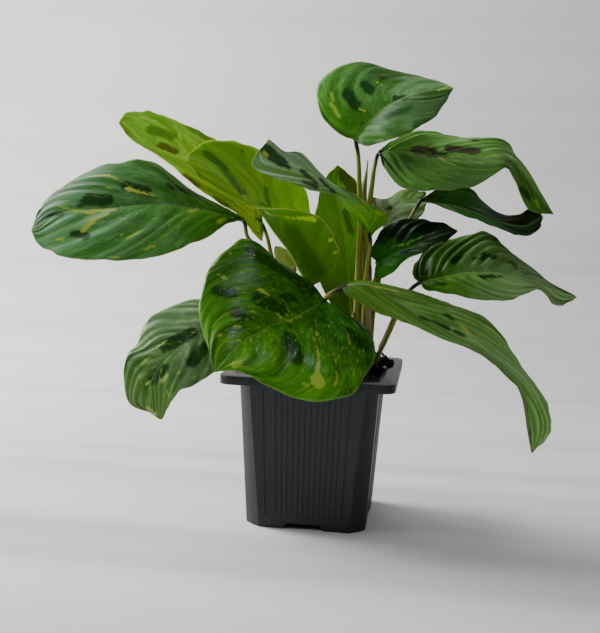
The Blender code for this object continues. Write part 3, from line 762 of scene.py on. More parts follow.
@dataclass
class Blade:
    """A leaf blade in millimetres: its midrib from base to tip and its two margins.

    arch is the rise of each half between midrib and margin as a share of its width,
    waves are how often the margins wave along the blade and how high, sweep is how far
    the side veins run forward as a share of the blade's length, and folds are the pitch
    and height of the soft folds along them. dark, pale and brown are the markings, though
    a few dark strokes are painted shade and a few pale and brown ones painted sheen, each
    a stroke: where it starts and where it ends, both as percent of the blade's length
    and percent of its half width, positive on the left half, and half its width.
    """

    name: str
    slot: Slot
    finish: LeafFinish
    midrib: Route
    left: Route
    right: Route
    arch: float
    waves: tuple[float, float]
    seed: int
    sweep: float = 0.33
    folds: tuple[float, float] = (13.0, 0.45)
    dark: Strokes = ()
    pale: Strokes = ()
    brown: Strokes = ()

    def lines(self) -> tuple[list[Vector], list[Vector], list[Vector]]:
        """Return the midrib and the two whole margins in metres."""
        midrib = to_metres(self.midrib)
        left = [midrib[0]] + to_metres(self.left) + [midrib[-1]]
        right = [midrib[0]] + to_metres(self.right) + [midrib[-1]]
        return midrib, left, right

    def base_normal(self) -> Vector:
        """Return the direction of the upper side at the base."""
        midrib, left, right = self.lines()
        return (midrib[1] - midrib[0]).cross(left[1] - right[1]).normalized()

    def length_mm(self) -> float:
        """Return the length of the midrib."""
        midrib = to_metres(self.midrib)
        points = [spline(midrib, step / LENGTH_STEPS) for step in range(LENGTH_STEPS + 1)]
        return sum((end - start).length for start, end in zip(points, points[1:])) / MM

    def row(self, along: float) -> tuple[Vector, Vector, Vector, Vector, Vector]:
        """Find what one row of the blade needs.

        Args:
            along: the share of the blade's length.

        Returns:
            The midrib's place, both margins, the upper side's direction and the heading.
        """
        midrib, left, right = self.lines()
        lag = along ** MIDRIB_LAG
        left_edge = spline(left, along)
        right_edge = spline(right, along)
        ahead = spline(midrib, min(lag + SLOPE_STEP, 1.0))
        behind = spline(midrib, max(lag - SLOPE_STEP, 0.0))
        heading = (ahead - behind).normalized()
        normal = heading.cross(left_edge - right_edge)
        if normal.length > 0.0:
            normal.normalize()
        return spline(midrib, lag), left_edge, right_edge, normal, heading

    def fold(self, w: float, y: float, sign: float) -> float:
        """Find how high a soft fold along the side veins stands, from -1 to 1.

        Args:
            w: the flow coordinate along the midrib in millimetres.
            y: the distance out from the midrib in millimetres.
            sign: 1 on the left half and -1 on the right one.

        Returns:
            The height as a share of the deepest fold.
        """
        drift = noise.noise(Vector((w * BROAD_CYCLES, y * 0.03, self.seed + sign * HALF_OFFSET)))
        swell = min(0.35 + 1.8 * max(drift + 0.15, 0.0), 1.0)
        return math.sin(2.0 * math.pi * w / self.folds[0] + FOLD_WANDER * drift) * swell

    def relief_mm(self, along: float, share: float, sign: float, w: float, y: float) -> float:
        """Find how far the surface stands above the blade's smooth middle surface.

        Args:
            along: the share of the blade's length.
            share: the share of its half width.
            sign: 1 on the left half and -1 on the right one.
            w: the flow coordinate along the midrib in millimetres.
            y: the distance out from the midrib in millimetres.

        Returns:
            The height in millimetres.
        """
        ends = soft_step(along, 0.0, END_FADE) * soft_step(1.0 - along, 0.0, END_FADE)
        out = soft_step(share, 0.04, 0.3) * (1.0 - 0.4 * soft_step(share, 0.8, 1.0))
        fold = self.fold(w, y, sign) * self.folds[1]
        broad = Vector((w * BROAD_CYCLES, y * BROAD_CYCLES, self.seed + UNEVEN_OFFSET))
        edge = Vector((w * FLUTTER_CYCLES, self.seed + FLUTTER_OFFSET, sign))
        uneven = noise.noise(broad) * UNEVEN_MM
        flutter = noise.noise(edge) * FLUTTER_MM
        groove = -MIDRIB_GROOVE_MM * math.exp(-((y / MIDRIB_HALF_MM) ** 2)) * (1.0 - along)
        return ends * (fold * out + uneven + flutter * share ** 4) + groove

    def spot(self, row: tuple, along: float, across: float, length: float) -> tuple:
        """Find a place on the upper side and its flow coordinates.

        Args:
            row: what row() gave for this share of the length.
            along: the share of the blade's length.
            across: the share of the half width, positive on the left half.
            length: the length of the midrib in millimetres.

        Returns:
            The place in metres, then millimetres along the midrib and out along the veins.
        """
        rib, left_edge, right_edge, normal, heading = row
        sign = 1.0 if across > 0.0 else -1.0
        share = abs(across)
        side = (left_edge if across > 0.0 else right_edge) - rib
        w = length * (along - self.sweep * (0.5 * share + 0.5 * share * share))
        y = (side - heading * side.dot(heading)).length * share / MM
        bulge = self.arch * side.length * 4.0 * share * (1.0 - share)
        count, height = self.waves
        phase = 2.0 * math.pi * count * along + (WAVE_SHIFT if across > 0.0 else 0.0)
        ripple = height * MM * math.sin(phase) * math.sin(math.pi * along) * share * share
        detail = (self.relief_mm(along, share, sign, w, y) + LAMINA_THICK_MM / 2) * MM
        ragged = Vector((w * NIBBLE_CYCLES, self.seed + NIBBLE_OFFSET, sign))
        bite = noise.noise(ragged) * share ** 8
        inset = NIBBLE_MM * MM * max(bite, 0.0) * soft_step(1.0 - along, 0.0, END_FADE)
        reach = side * share - side.normalized() * inset
        return rib + reach + normal * (bulge + ripple + detail), w, sign * y

    def strokes(self, length: float) -> list[list[tuple[Vector, Vector, float]]]:
        """Lay the dark, the pale and the brown markings on the blade, in metres.

        Args:
            length: the length of the midrib in millimetres.

        Returns:
            For each kind its strokes: where they start, where they end and half their width.
        """
        laid = []
        for kind in (self.dark, self.pale, self.brown):
            laid.append([])
            for stroke in kind:
                ends = []
                for along, across in (stroke[:2], stroke[2:4]):
                    row = self.row(along / 100.0)
                    ends.append(self.spot(row, along / 100.0, across / 100.0, length)[0])
                laid[-1].append((ends[0], ends[1], stroke[4] * MM))
        return laid

    def sheet(self) -> bmesh.types.BMesh:
        """Draw the blade as a grid laid on its curves, with its flow as attributes."""
        shape = grid(BLADE_ROWS, 2 * HALF_COLUMNS)
        flow = shape.verts.layers.float_vector.new("flow")
        marks = shape.verts.layers.float_vector.new("marks")
        shares = shape.verts.layers.float_vector.new("share")
        ridge = shape.verts.layers.float.new("ridge")
        thick = shape.verts.layers.deform.new()
        length = self.length_mm()
        strokes = self.strokes(length)
        rows = {}
        for vertex in shape.verts:
            along = min(max(round((vertex.co.x + 1.0) / 2.0, 6), 0.0), 1.0)
            if along not in rows:
                rows[along] = self.row(along)
            crowded = round(vertex.co.y, 6)
            across = math.copysign(abs(crowded) ** COLUMN_CROWDING, crowded)
            share = abs(across)
            sign = 1.0 if across > 0.0 else -1.0
            vertex.co, w, y = self.spot(rows[along], along, across, length)
            vertex[flow] = Vector((w, y, self.seed * PATTERN_STEP))
            vertex[shares] = Vector((along, share, 0.0 if across == 0.0 else sign))
            vertex[marks] = Vector(mark_distances(vertex.co, strokes))
            # The fold height is kept for the colour's painted sheen on the ridges and painted shade in
            # the valleys.
            vertex[ridge] = RIDGE_WEIGHT * self.fold(w, abs(y), sign) * soft_step(share, 0.02, 0.25)
            vertex[thick][0] = math.exp(-((y / MIDRIB_HALF_MM) ** 2)) * (1.0 - along) ** 0.7
        bmesh.ops.remove_doubles(shape, verts=shape.verts, dist=0.000001)
        return shape

    def build(self) -> bpy.types.Object:
        """Build and dress the blade."""
        name = "leaf_" + self.name
        materials = [self.finish.upper(name), self.finish.under_side(name)]
        piece = make_piece(name, self.sheet(), materials, ("blade_" + self.name,))
        group = piece.vertex_groups.new(name="midrib")
        step = thicken(piece, MIDRIB_THICK_MM * MM, -1.0)
        step.vertex_group = group.name
        step.thickness_vertex_group = LAMINA_THICK_MM / MIDRIB_THICK_MM
        step.material_offset = 1
        step.material_offset_rim = 1
        return piece


def mark_distances(place: Vector, strokes: list) -> list[float]:
    """Find how far a place is from the nearest dark, pale and brown markings.

    Args:
        place: the place on the blade in metres.
        strokes: what a blade's strokes() gave.

    Returns:
        Three distances in millimetres, negative inside a marking.
    """
    nearest = []
    for kind in strokes:
        away = [(stroke_distance(place, start, end) - half) / MM for start, end, half in kind]
        nearest.append(min(away + [FAR_MM]))
    return nearest


@dataclass(frozen=True)
class StalkFinish:
    """A smooth leaf stalk: olive green, dark brown at the swollen joint below the blade."""

    name: str = "smooth_leaf_stalk"
    green: str = "707c14"
    light: str = "989a30"
    joint: str = "2c2010"
    foot: str = "96903a"
    roughness: float = 0.42
    grain: Grain = (1.1, 1.1, 0.05)
    relief: float = 0.15 * MM

    def make(self) -> bpy.types.Material:
        """Make the stalk's material, which reads its own length attribute."""
        board = new_board(self.name)
        flow = board.attribute("flow")
        down = board.split(flow)[2]
        grain = board.noise(flow, self.grain, 3.0)
        ground = board.mix(board.ramp(grain, 0.35, 0.65), self.green, self.light)
        joint = board.ramp(down, PULVINUS_MM * 1.6, PULVINUS_MM * 0.8)
        foot = board.ramp(down, 60.0, 120.0, 0.0, 0.6)
        colour = board.over(ground, [(foot, self.foot), (joint, self.joint)])
        relief = board.bump(grain, 0.5, self.relief)
        return board.finish(board.skin(colour, self.roughness, relief, {"IOR": WAX_IOR}))


@dataclass
class Stalk:
    """A leaf stalk in millimetres: its route below the blade, its foot and its radii."""

    name: str
    route: Route
    foot: tuple[float, float]
    radius: tuple[float, float, float]
    drop: float = 0.0

    def line(self, blade: Blade) -> list[Vector]:
        """Return the solid model's line, from just under the blade to the foot, in metres.

        Args:
            blade: the blade that it carries.

        Returns:
            The points of the line.
        """
        base = Vector(blade.midrib[0]) * MM
        start = base - blade.base_normal() * (self.radius[0] + self.drop) * MM
        return [start] + to_metres(self.route) + stalk_tail(self.foot)

    def build(self, blade: Blade, material: bpy.types.Material) -> bpy.types.Object:
        """Build and dress the stalk.

        Args:
            blade: the blade that it carries.
            material: the stalk finish.

        Returns:
            The piece.
        """
        line = self.line(blade)
        under = spline(to_metres(blade.midrib), STALK_REACH)
        line.insert(0, under - blade.base_normal() * self.radius[0] * 0.55 * MM)
        shape = tube(line, self.radius)
        nodes = ("petiole_" + self.name,)
        return make_piece("stalk_" + self.name, shape, [material], nodes)


def stalk_tail(foot: tuple[float, float]) -> list[Vector]:
    """Return the last points of a stalk's line in metres, above its foot and at it."""
    tail = [Vector((foot[0], foot[1], z)) * MM for z in STALK_TAIL_MM]
    return tail + [Vector((foot[0] * MM, foot[1] * MM, STALK_FOOT_Z))]


def tube(line: list[Vector], radii: tuple[float, ...]) -> bmesh.types.BMesh:
    """Draw a round tube along a line, narrowed at its tip and swollen just below it.

    Args:
        line: the points of its middle line in metres, from the top.
        radii: radii in millimetres, spaced evenly along it.

    Returns:
        The closed tube, with its surface coordinates as an attribute.
    """
    places = [spline(line, step / STALK_STEPS) for step in range(STALK_STEPS + 1)]
    heading = (places[1] - places[0]).normalized()
    turn = Vector((0.0, 0.0, 1.0)).rotation_difference(heading).to_matrix()
    rings = []
    flows = []
    travelled = 0.0
    for step, place in enumerate(places):
        if step > 0:
            travelled += (place - places[step - 1]).length / MM
            ahead = places[min(step + 1, STALK_STEPS)] - places[step - 1]
            turn = heading.rotation_difference(ahead).to_matrix() @ turn
            heading = ahead.normalized()
        swell = math.exp(-((travelled / PULVINUS_MM - PULVINUS_MIDDLE) ** 2) * PULVINUS_SHARP)
        radius = radius_at(radii, step / STALK_STEPS) * (1.0 + PULVINUS_SWELL * swell)
        radius *= STALK_TIP_SHARE + (1.0 - STALK_TIP_SHARE) * soft_step(travelled, 0.0, TIP_FADE_MM)
        rings.append([])
        flows.append([])
        for side in range(STALK_SIDES):
            angle = 2.0 * math.pi * side / STALK_SIDES
            around = Vector((-math.sin(angle), math.cos(angle), 0.0)) * radius
            rings[-1].append(place + turn @ around * MM)
            flows[-1].append(Vector((around.x, around.y, travelled)))
    return loft(rings, flows)


@dataclass(frozen=True)
class SheathFinish:
    """A dry papery sheath: pale tan with long fibres and a brown torn edge."""

    name: str = "dry_papery_sheath"
    tan: str = "a9a163"
    light: str = "c9c391"
    edge: str = "5d4527"
    roughness: float = 0.55
    fibre_grain: Grain = (22.0, 1.2, 1.0)
    stain_grain: Grain = (6.0, 3.0, 5.0)
    relief: float = 0.2 * MM

    def make(self) -> bpy.types.Material:
        """Make the sheath's material, whose fibres run along the stalk."""
        board = new_board(self.name)
        flow = board.attribute("flow")
        up = board.split(flow)[1]
        fibres = board.noise(flow, self.fibre_grain, 3.0)
        ground = board.mix(board.ramp(fibres, 0.35, 0.65), self.tan, self.light)
        browned = board.maths("MULTIPLY_ADD", board.noise(flow, self.stain_grain, 4.0), 0.5, up)
        colour = board.over(ground, [(board.ramp(browned, 0.95, 1.25), self.edge)])
        skin = board.skin(colour, self.roughness, board.bump(fibres, 0.6, self.relief))
        return board.finish(board.thin(THIN_SHARE, skin, {"Color": colour}))


@dataclass
class Sheath:
    """A sheath round a stretch of a stalk.

    start and end are shares of the stalk's length from its foot, facing is the
    direction it faces about +Z in degrees and spread is half its opening.
    """

    name: str
    start: float
    end: float
    facing: float
    spread: float

    def build(self, stalk: Stalk, blade: Blade, material: bpy.types.Material) -> bpy.types.Object:
        """Build and dress the sheath.

        Args:
            stalk: the stalk that it wraps.
            blade: the blade on that stalk.
            material: the sheath finish.

        Returns:
            The piece.
        """
        line = stalk.line(blade)
        shape = grid(SHEATH_ROWS, SHEATH_COLUMNS)
        flow = shape.verts.layers.float_vector.new("flow")
        for vertex in shape.verts:
            height = (vertex.co.x + 1.0) / 2.0
            side = vertex.co.y
            share = 1.0 - (self.start + (self.end - self.start) * height)
            centre = spline(line, share)
            along = (spline(line, share - 0.01) - spline(line, share + 0.01)).normalized()
            tear = noise.noise(Vector((height * TEAR_CYCLES, side, self.facing)))
            reach = radius_at(stalk.radius, share) + SHEATH_GAP_MM + SHEATH_THICK_MM / 2
            reach += SHEATH_FLARE_MM * abs(side) ** 6 * (1.0 + tear)
            opening = math.radians(self.spread) * (1.0 - SHEATH_TAPER * height ** 2)
            opening *= 1.0 + TEAR_SHARE * tear
            outward = heading_at(math.radians(self.facing) + opening * side)
            outward = (outward - along * outward.dot(along)).normalized()
            vertex.co = centre + outward * reach * MM
            vertex[flow] = Vector((side * 0.5, height, self.facing * 0.1))
        bmesh.ops.recalc_face_normals(shape, faces=shape.faces)
        nodes = ("sheath_" + self.name,)
        piece = make_piece("wrap_" + self.name, shape, [material], nodes)
        thicken(piece, SHEATH_THICK_MM * MM, 0.0)
        return piece


@dataclass(frozen=True)
class RolledLeafFinish:
    """A young leaf still rolled up: whitish green with fine veins and a browned tip."""

    name: str = "rolled_leaf_pale"
    pale: str = "b4b981"
    green: str = "8a9a55"
    tip: str = "8c6a44"
    roughness: float = 0.45
    vein_grain: Grain = (1.5, 0.03, 1.0)
    relief: float = 0.2 * MM

    def make(self) -> bpy.types.Material:
        """Make the rolled leaf's material."""
        board = new_board(self.name)
        flow = board.attribute("flow")
        down = board.split(flow)[1]
        veins = board.noise(flow, self.vein_grain)
        ground = board.mix(board.ramp(veins, 0.4, 0.6), self.pale, self.green)
        tip = board.ramp(down, 7.0, 2.0)
        low = board.ramp(down, 45.0, 90.0, 0.0, 0.7)
        colour = board.over(ground, [(low, self.green), (tip, self.tip)])
        skin = board.skin(colour, self.roughness, board.bump(veins, 0.5, self.relief))
        return board.finish(board.thin(THIN_SHARE, skin, {"Color": colour}))


@dataclass
class RolledLeaf:
    """The young leaf rolled round itself, in millimetres: route from its tip, foot, radii."""

    route: Route = ((24.5, 13, 215), (24, 13, 208), (23, 13, 196), (24, 14, 176), (25, 14.5, 150))
    foot: tuple[float, float] = (25.0, 14.5)
    radius: tuple[float, ...] = (0.4, 2.2, 2.4, 1.8, 1.6)
    finish: RolledLeafFinish = RolledLeafFinish()

    def build(self) -> bpy.types.Object:
        """Build and dress the rolled leaf as one sheet wound round its own axis."""
        line = to_metres(self.route) + stalk_tail(self.foot)
        shape = grid(ROLL_ROWS, ROLL_COLUMNS)
        flow = shape.verts.layers.float_vector.new("flow")
        for vertex in shape.verts:
            share = (vertex.co.x + 1.0) / 2.0
            wound = (vertex.co.y + 1.0) / 2.0
            outward = heading_at(2.0 * math.pi * ROLL_TURNS * wound + ROLL_TWIST * share)
            open_share = ROLL_CORE + (1.0 - ROLL_CORE) * wound
            radius = radius_at(self.radius, share) * open_share - ROLL_THICK_MM / 2
            vertex.co = spline(line, share) + outward * max(radius, 0.1) * MM
            down = share * (self.route[0][2] - STALK_FOOT_Z / MM)
            vertex[flow] = Vector((wound * 12.0, down, 3.0))
        bmesh.ops.recalc_face_normals(shape, faces=shape.faces)
        materials = [self.finish.make()]
        piece = make_piece("young_roll", shape, materials, ("rolled_leaf",))
        thicken(piece, ROLL_THICK_MM * MM, 0.0)
        return piece


@dataclass(frozen=True)
class PotFinish:
    """Black polypropylene, injection moulded: satin, with dust and faint rub marks."""

    name: str = "moulded_polypropylene"
    black: str = "171b20"
    worn: str = "22282e"
    foot: str = "09080e"
    dust: str = "4c4b48"
    roughness: float = 0.42
    rub_grain: Grain = (60.0, 60.0, 25.0)
    speck_grain: Grain = (420.0, 420.0, 260.0)
    mould_grain: Grain = (900.0, 900.0, 900.0)
    relief: float = 0.05 * MM

    def make(self) -> bpy.types.Material:
        """Make the pot's material."""
        board = new_board(self.name)
        place = board.coordinates()
        height = board.split(place)[2]
        cloud = board.noise(place, self.rub_grain, 4.0)
        ground = board.mix(board.ramp(cloud, 0.4, 0.7, 0.0, 0.6), self.black, self.worn)
        low = board.ramp(height, 0.03, 0.0, 0.0, 0.12, "LINEAR")
        dusty = board.maths("ADD", board.noise(place, self.speck_grain, 3.0), low)
        dust = board.ramp(dusty, 0.66, 0.84, 0.0, 0.4)
        # Darker towards the bottom.
        darker_low = board.ramp(height, 0.055, 0.004, 0.0, 0.8)
        colour = board.over(ground, [(darker_low, self.foot), (dust, self.dust)])
        relief = board.bump(board.noise(place, self.mould_grain), 0.25, self.relief)
        dull, glossy = self.roughness + 0.14, self.roughness - 0.1
        gloss = board.ramp(cloud, 0.0, 1.0, glossy, dull, "LINEAR")
        return board.finish(board.skin(colour, gloss, relief, {"IOR": PLASTIC_IOR}))


@dataclass
class Pot:
    """The square nursery pot: shell, flange, ribs, grooves, base arches and drain holes.

    first_place says where a ring starts, counted in places from the front left corner.
    """

    corner_steps: int = 8
    first_place: int = 26
    round_steps: int = 4
    edge_round: float = 0.00022
    merge_within: float = 0.000002
    flat_degrees: float = 0.6
    sharp_degrees: float = 28.0
    finish: PotFinish = PotFinish()

    def ring(self, half: float, corner: float, round_share: float, z: float) -> list[Vector]:
        """Lay out a square with cut or rounded corners, anticlockwise from first_place.

        Args:
            half: its half width.
            corner: the size of its corners.
            round_share: 0 for a flat cut and 1 for an arc.
            z: its height.

        Returns:
            Its places.
        """
        places = []
        inner = half - corner
        for turn in range(4):
            matrix = turned(90.0 * turn, "Z")
            for step in range(self.corner_steps + 1):
                share = step / self.corner_steps
                angle = share * math.pi / 2
                flat = Vector((-half + share * corner, -inner - share * corner, z))
                arc = Vector(
                    (-inner - corner * math.cos(angle), -inner - corner * math.sin(angle), z)
                )
                places.append(matrix @ flat.lerp(arc, round_share))
        return places[self.first_place:] + places[:self.first_place]

    def rings(self) -> list[tuple[float, float, float, float]]:
        """List half width, corner, roundness and height from the outer base inwards."""
        under = POT_HEIGHT - FLANGE_THICK
        low = POT_HEIGHT - LIP_DEPTH
        lip_half = POT_RIM_HALF - LIP_THICK
        lip_corner = POT_RIM_CORNER - LIP_THICK / 2
        outline = [
            (POT_BASE_HALF, POT_BASE_CORNER, 0.2, 0.0),
            (POT_TOP_HALF, POT_TOP_CORNER, 0.2, POT_TOP_Z),
            (FLARE_HALF, POT_TOP_CORNER, 0.6, under),
            (lip_half, lip_corner, 1.0, under),
            (lip_half, lip_corner, 1.0, low),
            (POT_RIM_HALF, POT_RIM_CORNER, 1.0, low),
        ]
        curve = []
        for step in range(self.round_steps + 1):
            angle = step / self.round_steps * math.pi / 2
            curve.append((LIP_ROUND * (1.0 - math.cos(angle)), LIP_ROUND * (1.0 - math.sin(angle))))
        for inset, drop in curve:
            half, corner = POT_RIM_HALF - inset, POT_RIM_CORNER - inset / 2
            outline.append((half, corner, 1.0, POT_HEIGHT - drop))
        for drop, inset in curve:
            outline.append((POT_MOUTH_HALF + inset, POT_TOP_CORNER, 1.0, POT_HEIGHT - drop))
        outline.append((wall_half(POT_TOP_Z) - POT_WALL, POT_TOP_CORNER, 0.2, POT_TOP_Z))
        outline.append((wall_half(POT_FLOOR) - POT_WALL, POT_BASE_CORNER, 0.2, POT_FLOOR))
        return outline

    def bars(
        self, centres: list[float], width: float, inward: float, outward: float
    ) -> bmesh.types.BMesh:
        """Draw straight bars that follow the slope of all four walls.

        Args:
            centres: their places across a side at the top.
            width: their width.
            inward: how deep they go into the wall.
            outward: how far they stand out of it.

        Returns:
            The bars.
        """
        shape = bmesh.new()
        for side in range(4):
            matrix = turned(90.0 * side, "Z")
            for centre in centres:
                for vertex in bmesh.ops.create_cube(shape, size=1.0)["verts"]:
                    z = RIB_HIGH if vertex.co.z > 0.0 else RIB_LOW
                    x = centre * wall_half(z) / POT_TOP_HALF + vertex.co.x * width
                    y = -wall_half(z) + (inward if vertex.co.y > 0.0 else -outward)
                    vertex.co = matrix @ Vector((x, y, z))
        return shape

    def notches(self) -> bmesh.types.BMesh:
        """Draw the low arches in the middle of each side of the base."""
        shape = bmesh.new()
        slope = (NOTCH_BASE_HALF - NOTCH_TOP_HALF) / NOTCH_HEIGHT
        for side in range(4):
            matrix = turned(90.0 * side, "Z")
            for vertex in bmesh.ops.create_cube(shape, size=2.0)["verts"]:
                z = NOTCH_HEIGHT if vertex.co.z > 0.0 else -MM
                x = vertex.co.x * (NOTCH_BASE_HALF - slope * z)
                y = NOTCH_DEPTH if vertex.co.y > 0.0 else -MM
                vertex.co = matrix @ Vector((x, y - POT_BASE_HALF, z))
        return shape

    def drains(self) -> bmesh.types.BMesh:
        """Draw the drain holes through the base."""
        shape = bmesh.new()
        for x, y in ((-1, -1), (1, -1), (1, 1), (-1, 1)):
            place = Vector((x * DRAIN_OFFSET, y * DRAIN_OFFSET, POT_FLOOR / 2))
            bmesh.ops.create_cone(
                shape,
                cap_ends=True,
                segments=DRAIN_SIDES,
                radius1=DRAIN_RADIUS,
                radius2=DRAIN_RADIUS,
                depth=POT_FLOOR + 2 * MM,
                matrix=Matrix.Translation(place),
            )
        return shape

    def joined(self) -> bmesh.types.BMesh:
        """Join the ribs to the shell and cut the grooves, arches and holes."""
        ribs = [(index - (RIB_COUNT - 1) / 2) * RIB_PITCH for index in range(RIB_COUNT)]
        grooves = [-GROOVE_OFFSET, GROOVE_OFFSET]
        body = make_object("pot_shell", loft([self.ring(*ring) for ring in self.rings()]))
        tools = []
        for operation, cutter in (
            ("UNION", self.bars(ribs, RIB_WIDTH, POT_WALL / 2, RIB_PROUD)),
            ("DIFFERENCE", self.bars(grooves, GROOVE_WIDTH, GROOVE_DEPTH, MM)),
            ("DIFFERENCE", self.notches()),
            ("DIFFERENCE", self.drains()),
        ):
            bmesh.ops.recalc_face_normals(cutter, faces=cutter.faces)
            tools.append(make_object("pot_cutter", cutter))
            step = body.modifiers.new("cut", "BOOLEAN")
            step.operation = operation
            step.solver = "EXACT"
            step.object = tools[-1]
        graph = bpy.context.evaluated_depsgraph_get()
        mesh = bpy.data.meshes.new_from_object(body.evaluated_get(graph))
        shape = bmesh.new()
        shape.from_mesh(mesh)
        bpy.data.meshes.remove(mesh)
        for item in [body] + tools:
            used = item.data
            bpy.data.objects.remove(item)
            bpy.data.meshes.remove(used)
        return shape

    def build(self) -> bpy.types.Object:
        """Build and dress the pot, with its edges softened as a mould leaves them."""
        shape = self.joined()
        bmesh.ops.remove_doubles(shape, verts=shape.verts, dist=self.merge_within)
        flat = math.radians(self.flat_degrees)
        bmesh.ops.dissolve_limit(shape, angle_limit=flat, verts=shape.verts, edges=shape.edges)
        piece = make_piece("nursery_pot", shape, [self.finish.make()], ("pot",))
        soften = piece.modifiers.new("soft_edges", "BEVEL")
        soften.width = self.edge_round
        soften.segments = 2
        soften.limit_method = "ANGLE"
        soften.angle_limit = math.radians(self.sharp_degrees)
        soften.harden_normals = True
        return piece


@dataclass(frozen=True)
class SoilFinish:
    """Damp peat compost: nearly black, with brown fibres and a matt broken surface."""

    name: str = "peat_compost"
    black: str = "080606"
    brown: str = "16100e"
    fibre: str = "4a3829"
    roughness: float = 0.9
    gloss: float = 0.15
    lump_grain: Grain = (320.0, 320.0, 320.0)
    fibre_grain: Grain = (900.0, 160.0, 500.0)
    relief: float = 0.8 * MM

    def make(self) -> bpy.types.Material:
        """Make the soil's material."""
        board = new_board(self.name)
        place = board.coordinates()
        lumps = board.noise(place, self.lump_grain, 5.0, 0.6)
        ground = board.mix(board.ramp(lumps, 0.5, 0.75), self.black, self.brown)
        thread = board.ramp(board.noise(place, self.fibre_grain, 3.0, 0.6), 0.68, 0.74, 0.0, 0.7)
        colour = board.over(ground, [(thread, self.fibre)])
        relief = board.bump(lumps, 0.9, self.relief)
        dull = {"Specular IOR Level": self.gloss}
        return board.finish(board.skin(colour, self.roughness, relief, dull))


